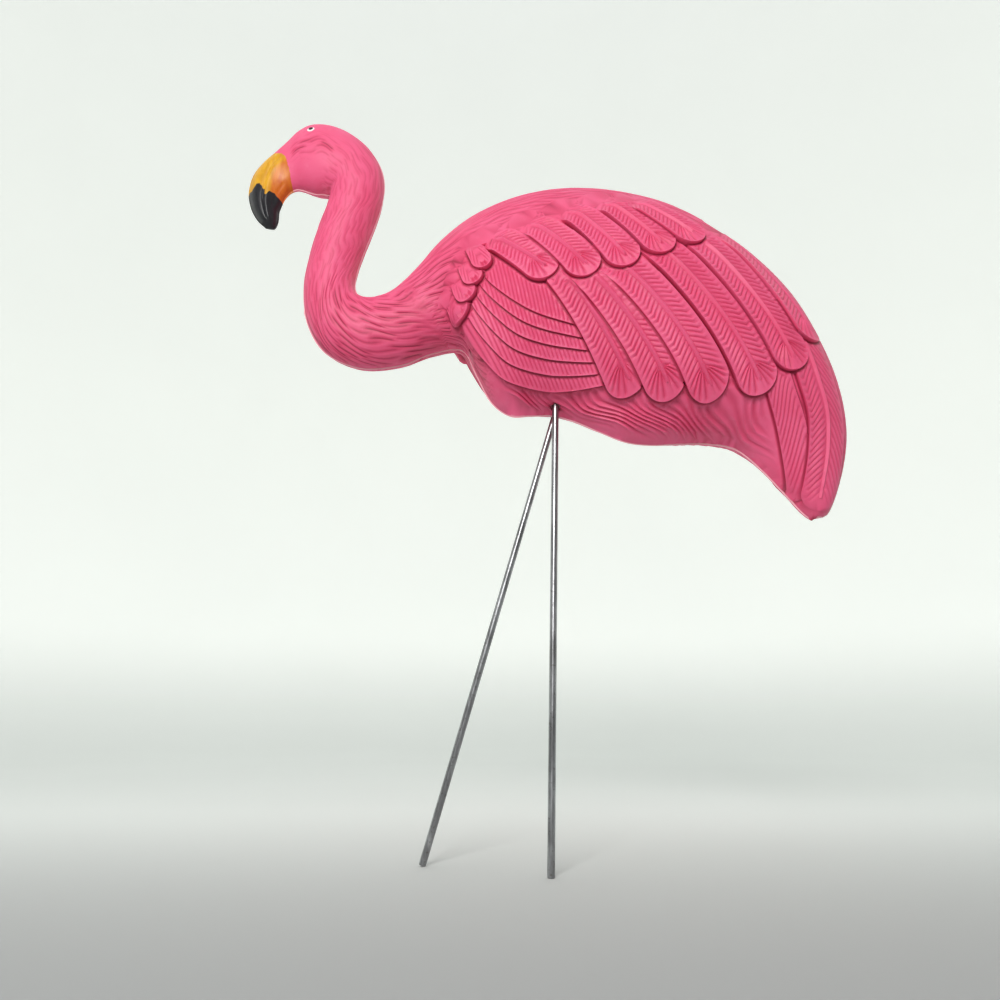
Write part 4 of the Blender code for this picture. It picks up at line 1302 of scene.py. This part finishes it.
def sweep():
    """A bowl: radius grows over a flat disc, then a quarter circle turns the floor up to a wall."""
    bend = np.linspace(0, math.pi / 2, 13)[1:]
    radii = np.concatenate([[0.4, 1.2, FLAT_RADIUS], FLAT_RADIUS + WALL_RADIUS * np.sin(bend),
                            [FLAT_RADIUS + WALL_RADIUS]])
    heights = np.concatenate([[0, 0, 0], WALL_RADIUS * (1 - np.cos(bend)), [WALL_TOP]])
    count = 96
    u = np.linspace(0, 2 * math.pi, count, endpoint=False)
    grid = np.stack([radii[:, None] * np.cos(u), radii[:, None] * np.sin(u),
                     heights[:, None] + 0 * u], axis=-1)
    mesh = bpy.data.meshes.new("sweep")
    disc = [list(range(count))[::-1]]
    mesh.from_pydata(grid.reshape(-1, 3).tolist(), [], ring_faces(len(radii), count).tolist() + disc)
    mesh.shade_smooth()
    piece = put_in_scene("sweep", mesh)
    return piece


def paper():
    """Pale paper, a little cloudy, with painted shade that makes it darker close to the front, and a
    painted glow where it turns up.
    """
    n = Nodes("pale_paper")
    _, y, z = n.place()
    pale = n.mix(n.noise(1.5), linear(234, 237, 234), linear(240, 243, 240))
    # Painted shade: the paper is coloured darker close to the front.
    n.put(n.shader.inputs["Base Color"], n.mix(n.ramp(y, 0.45, -0.4), pale, linear(160, 162, 162)))
    n.shader.inputs["Roughness"].default_value = 0.85
    # Painted glow: the paper gives off light where it turns up, in a second light's place.
    glow = n.times(n.ramp(z, -0.1, 0.55), n.ramp(y, -4.5, 1.0))
    n.put(n.shader.inputs["Emission Color"], linear(247, 249, 242))
    n.put(n.shader.inputs["Emission Strength"], n.times(glow, GLOW))
    n.material.cycles.emission_sampling = "NONE"
    return n.material


sweep().data.materials.append(paper())

# %% Lights, world and camera
def area_light(name, place, target, size, power, colour=(1, 1, 1)):
    """A square light that looks at a point."""
    data = bpy.data.lights.new(name, "AREA")
    data.size = size
    data.energy = power
    data.color = colour
    light = put_in_scene(name, data)
    light.location = place
    light.rotation_euler = (Vector(target) - Vector(place)).to_track_quat("-Z", "Y").to_euler()


area_light("key", (-0.4, -1.8, 1.1), (0.05, 0.0, 0.5), 0.7, 29.0, (1.0, 0.99, 0.975))
world = bpy.data.worlds.new("studio")
world.use_nodes = True
world.node_tree.nodes["Background"].inputs[0].default_value = (0.93, 0.95, 1.0, 1)
world.node_tree.nodes["Background"].inputs[1].default_value = 0.77
bpy.context.scene.world = world
bpy.context.scene.view_settings.view_transform = "Standard"

CAMERA_PLACE = (0.013, -0.6787, 0.1244)
CAMERA_PITCH = 16           # degrees above the horizon
lens = bpy.data.cameras.new("camera")
lens.lens = 27
lens.sensor_width = 36
camera = put_in_scene("camera", lens)
camera.location = CAMERA_PLACE
camera.rotation_euler = (math.radians(90 + CAMERA_PITCH), 0, 0)
bpy.context.scene.camera = camera
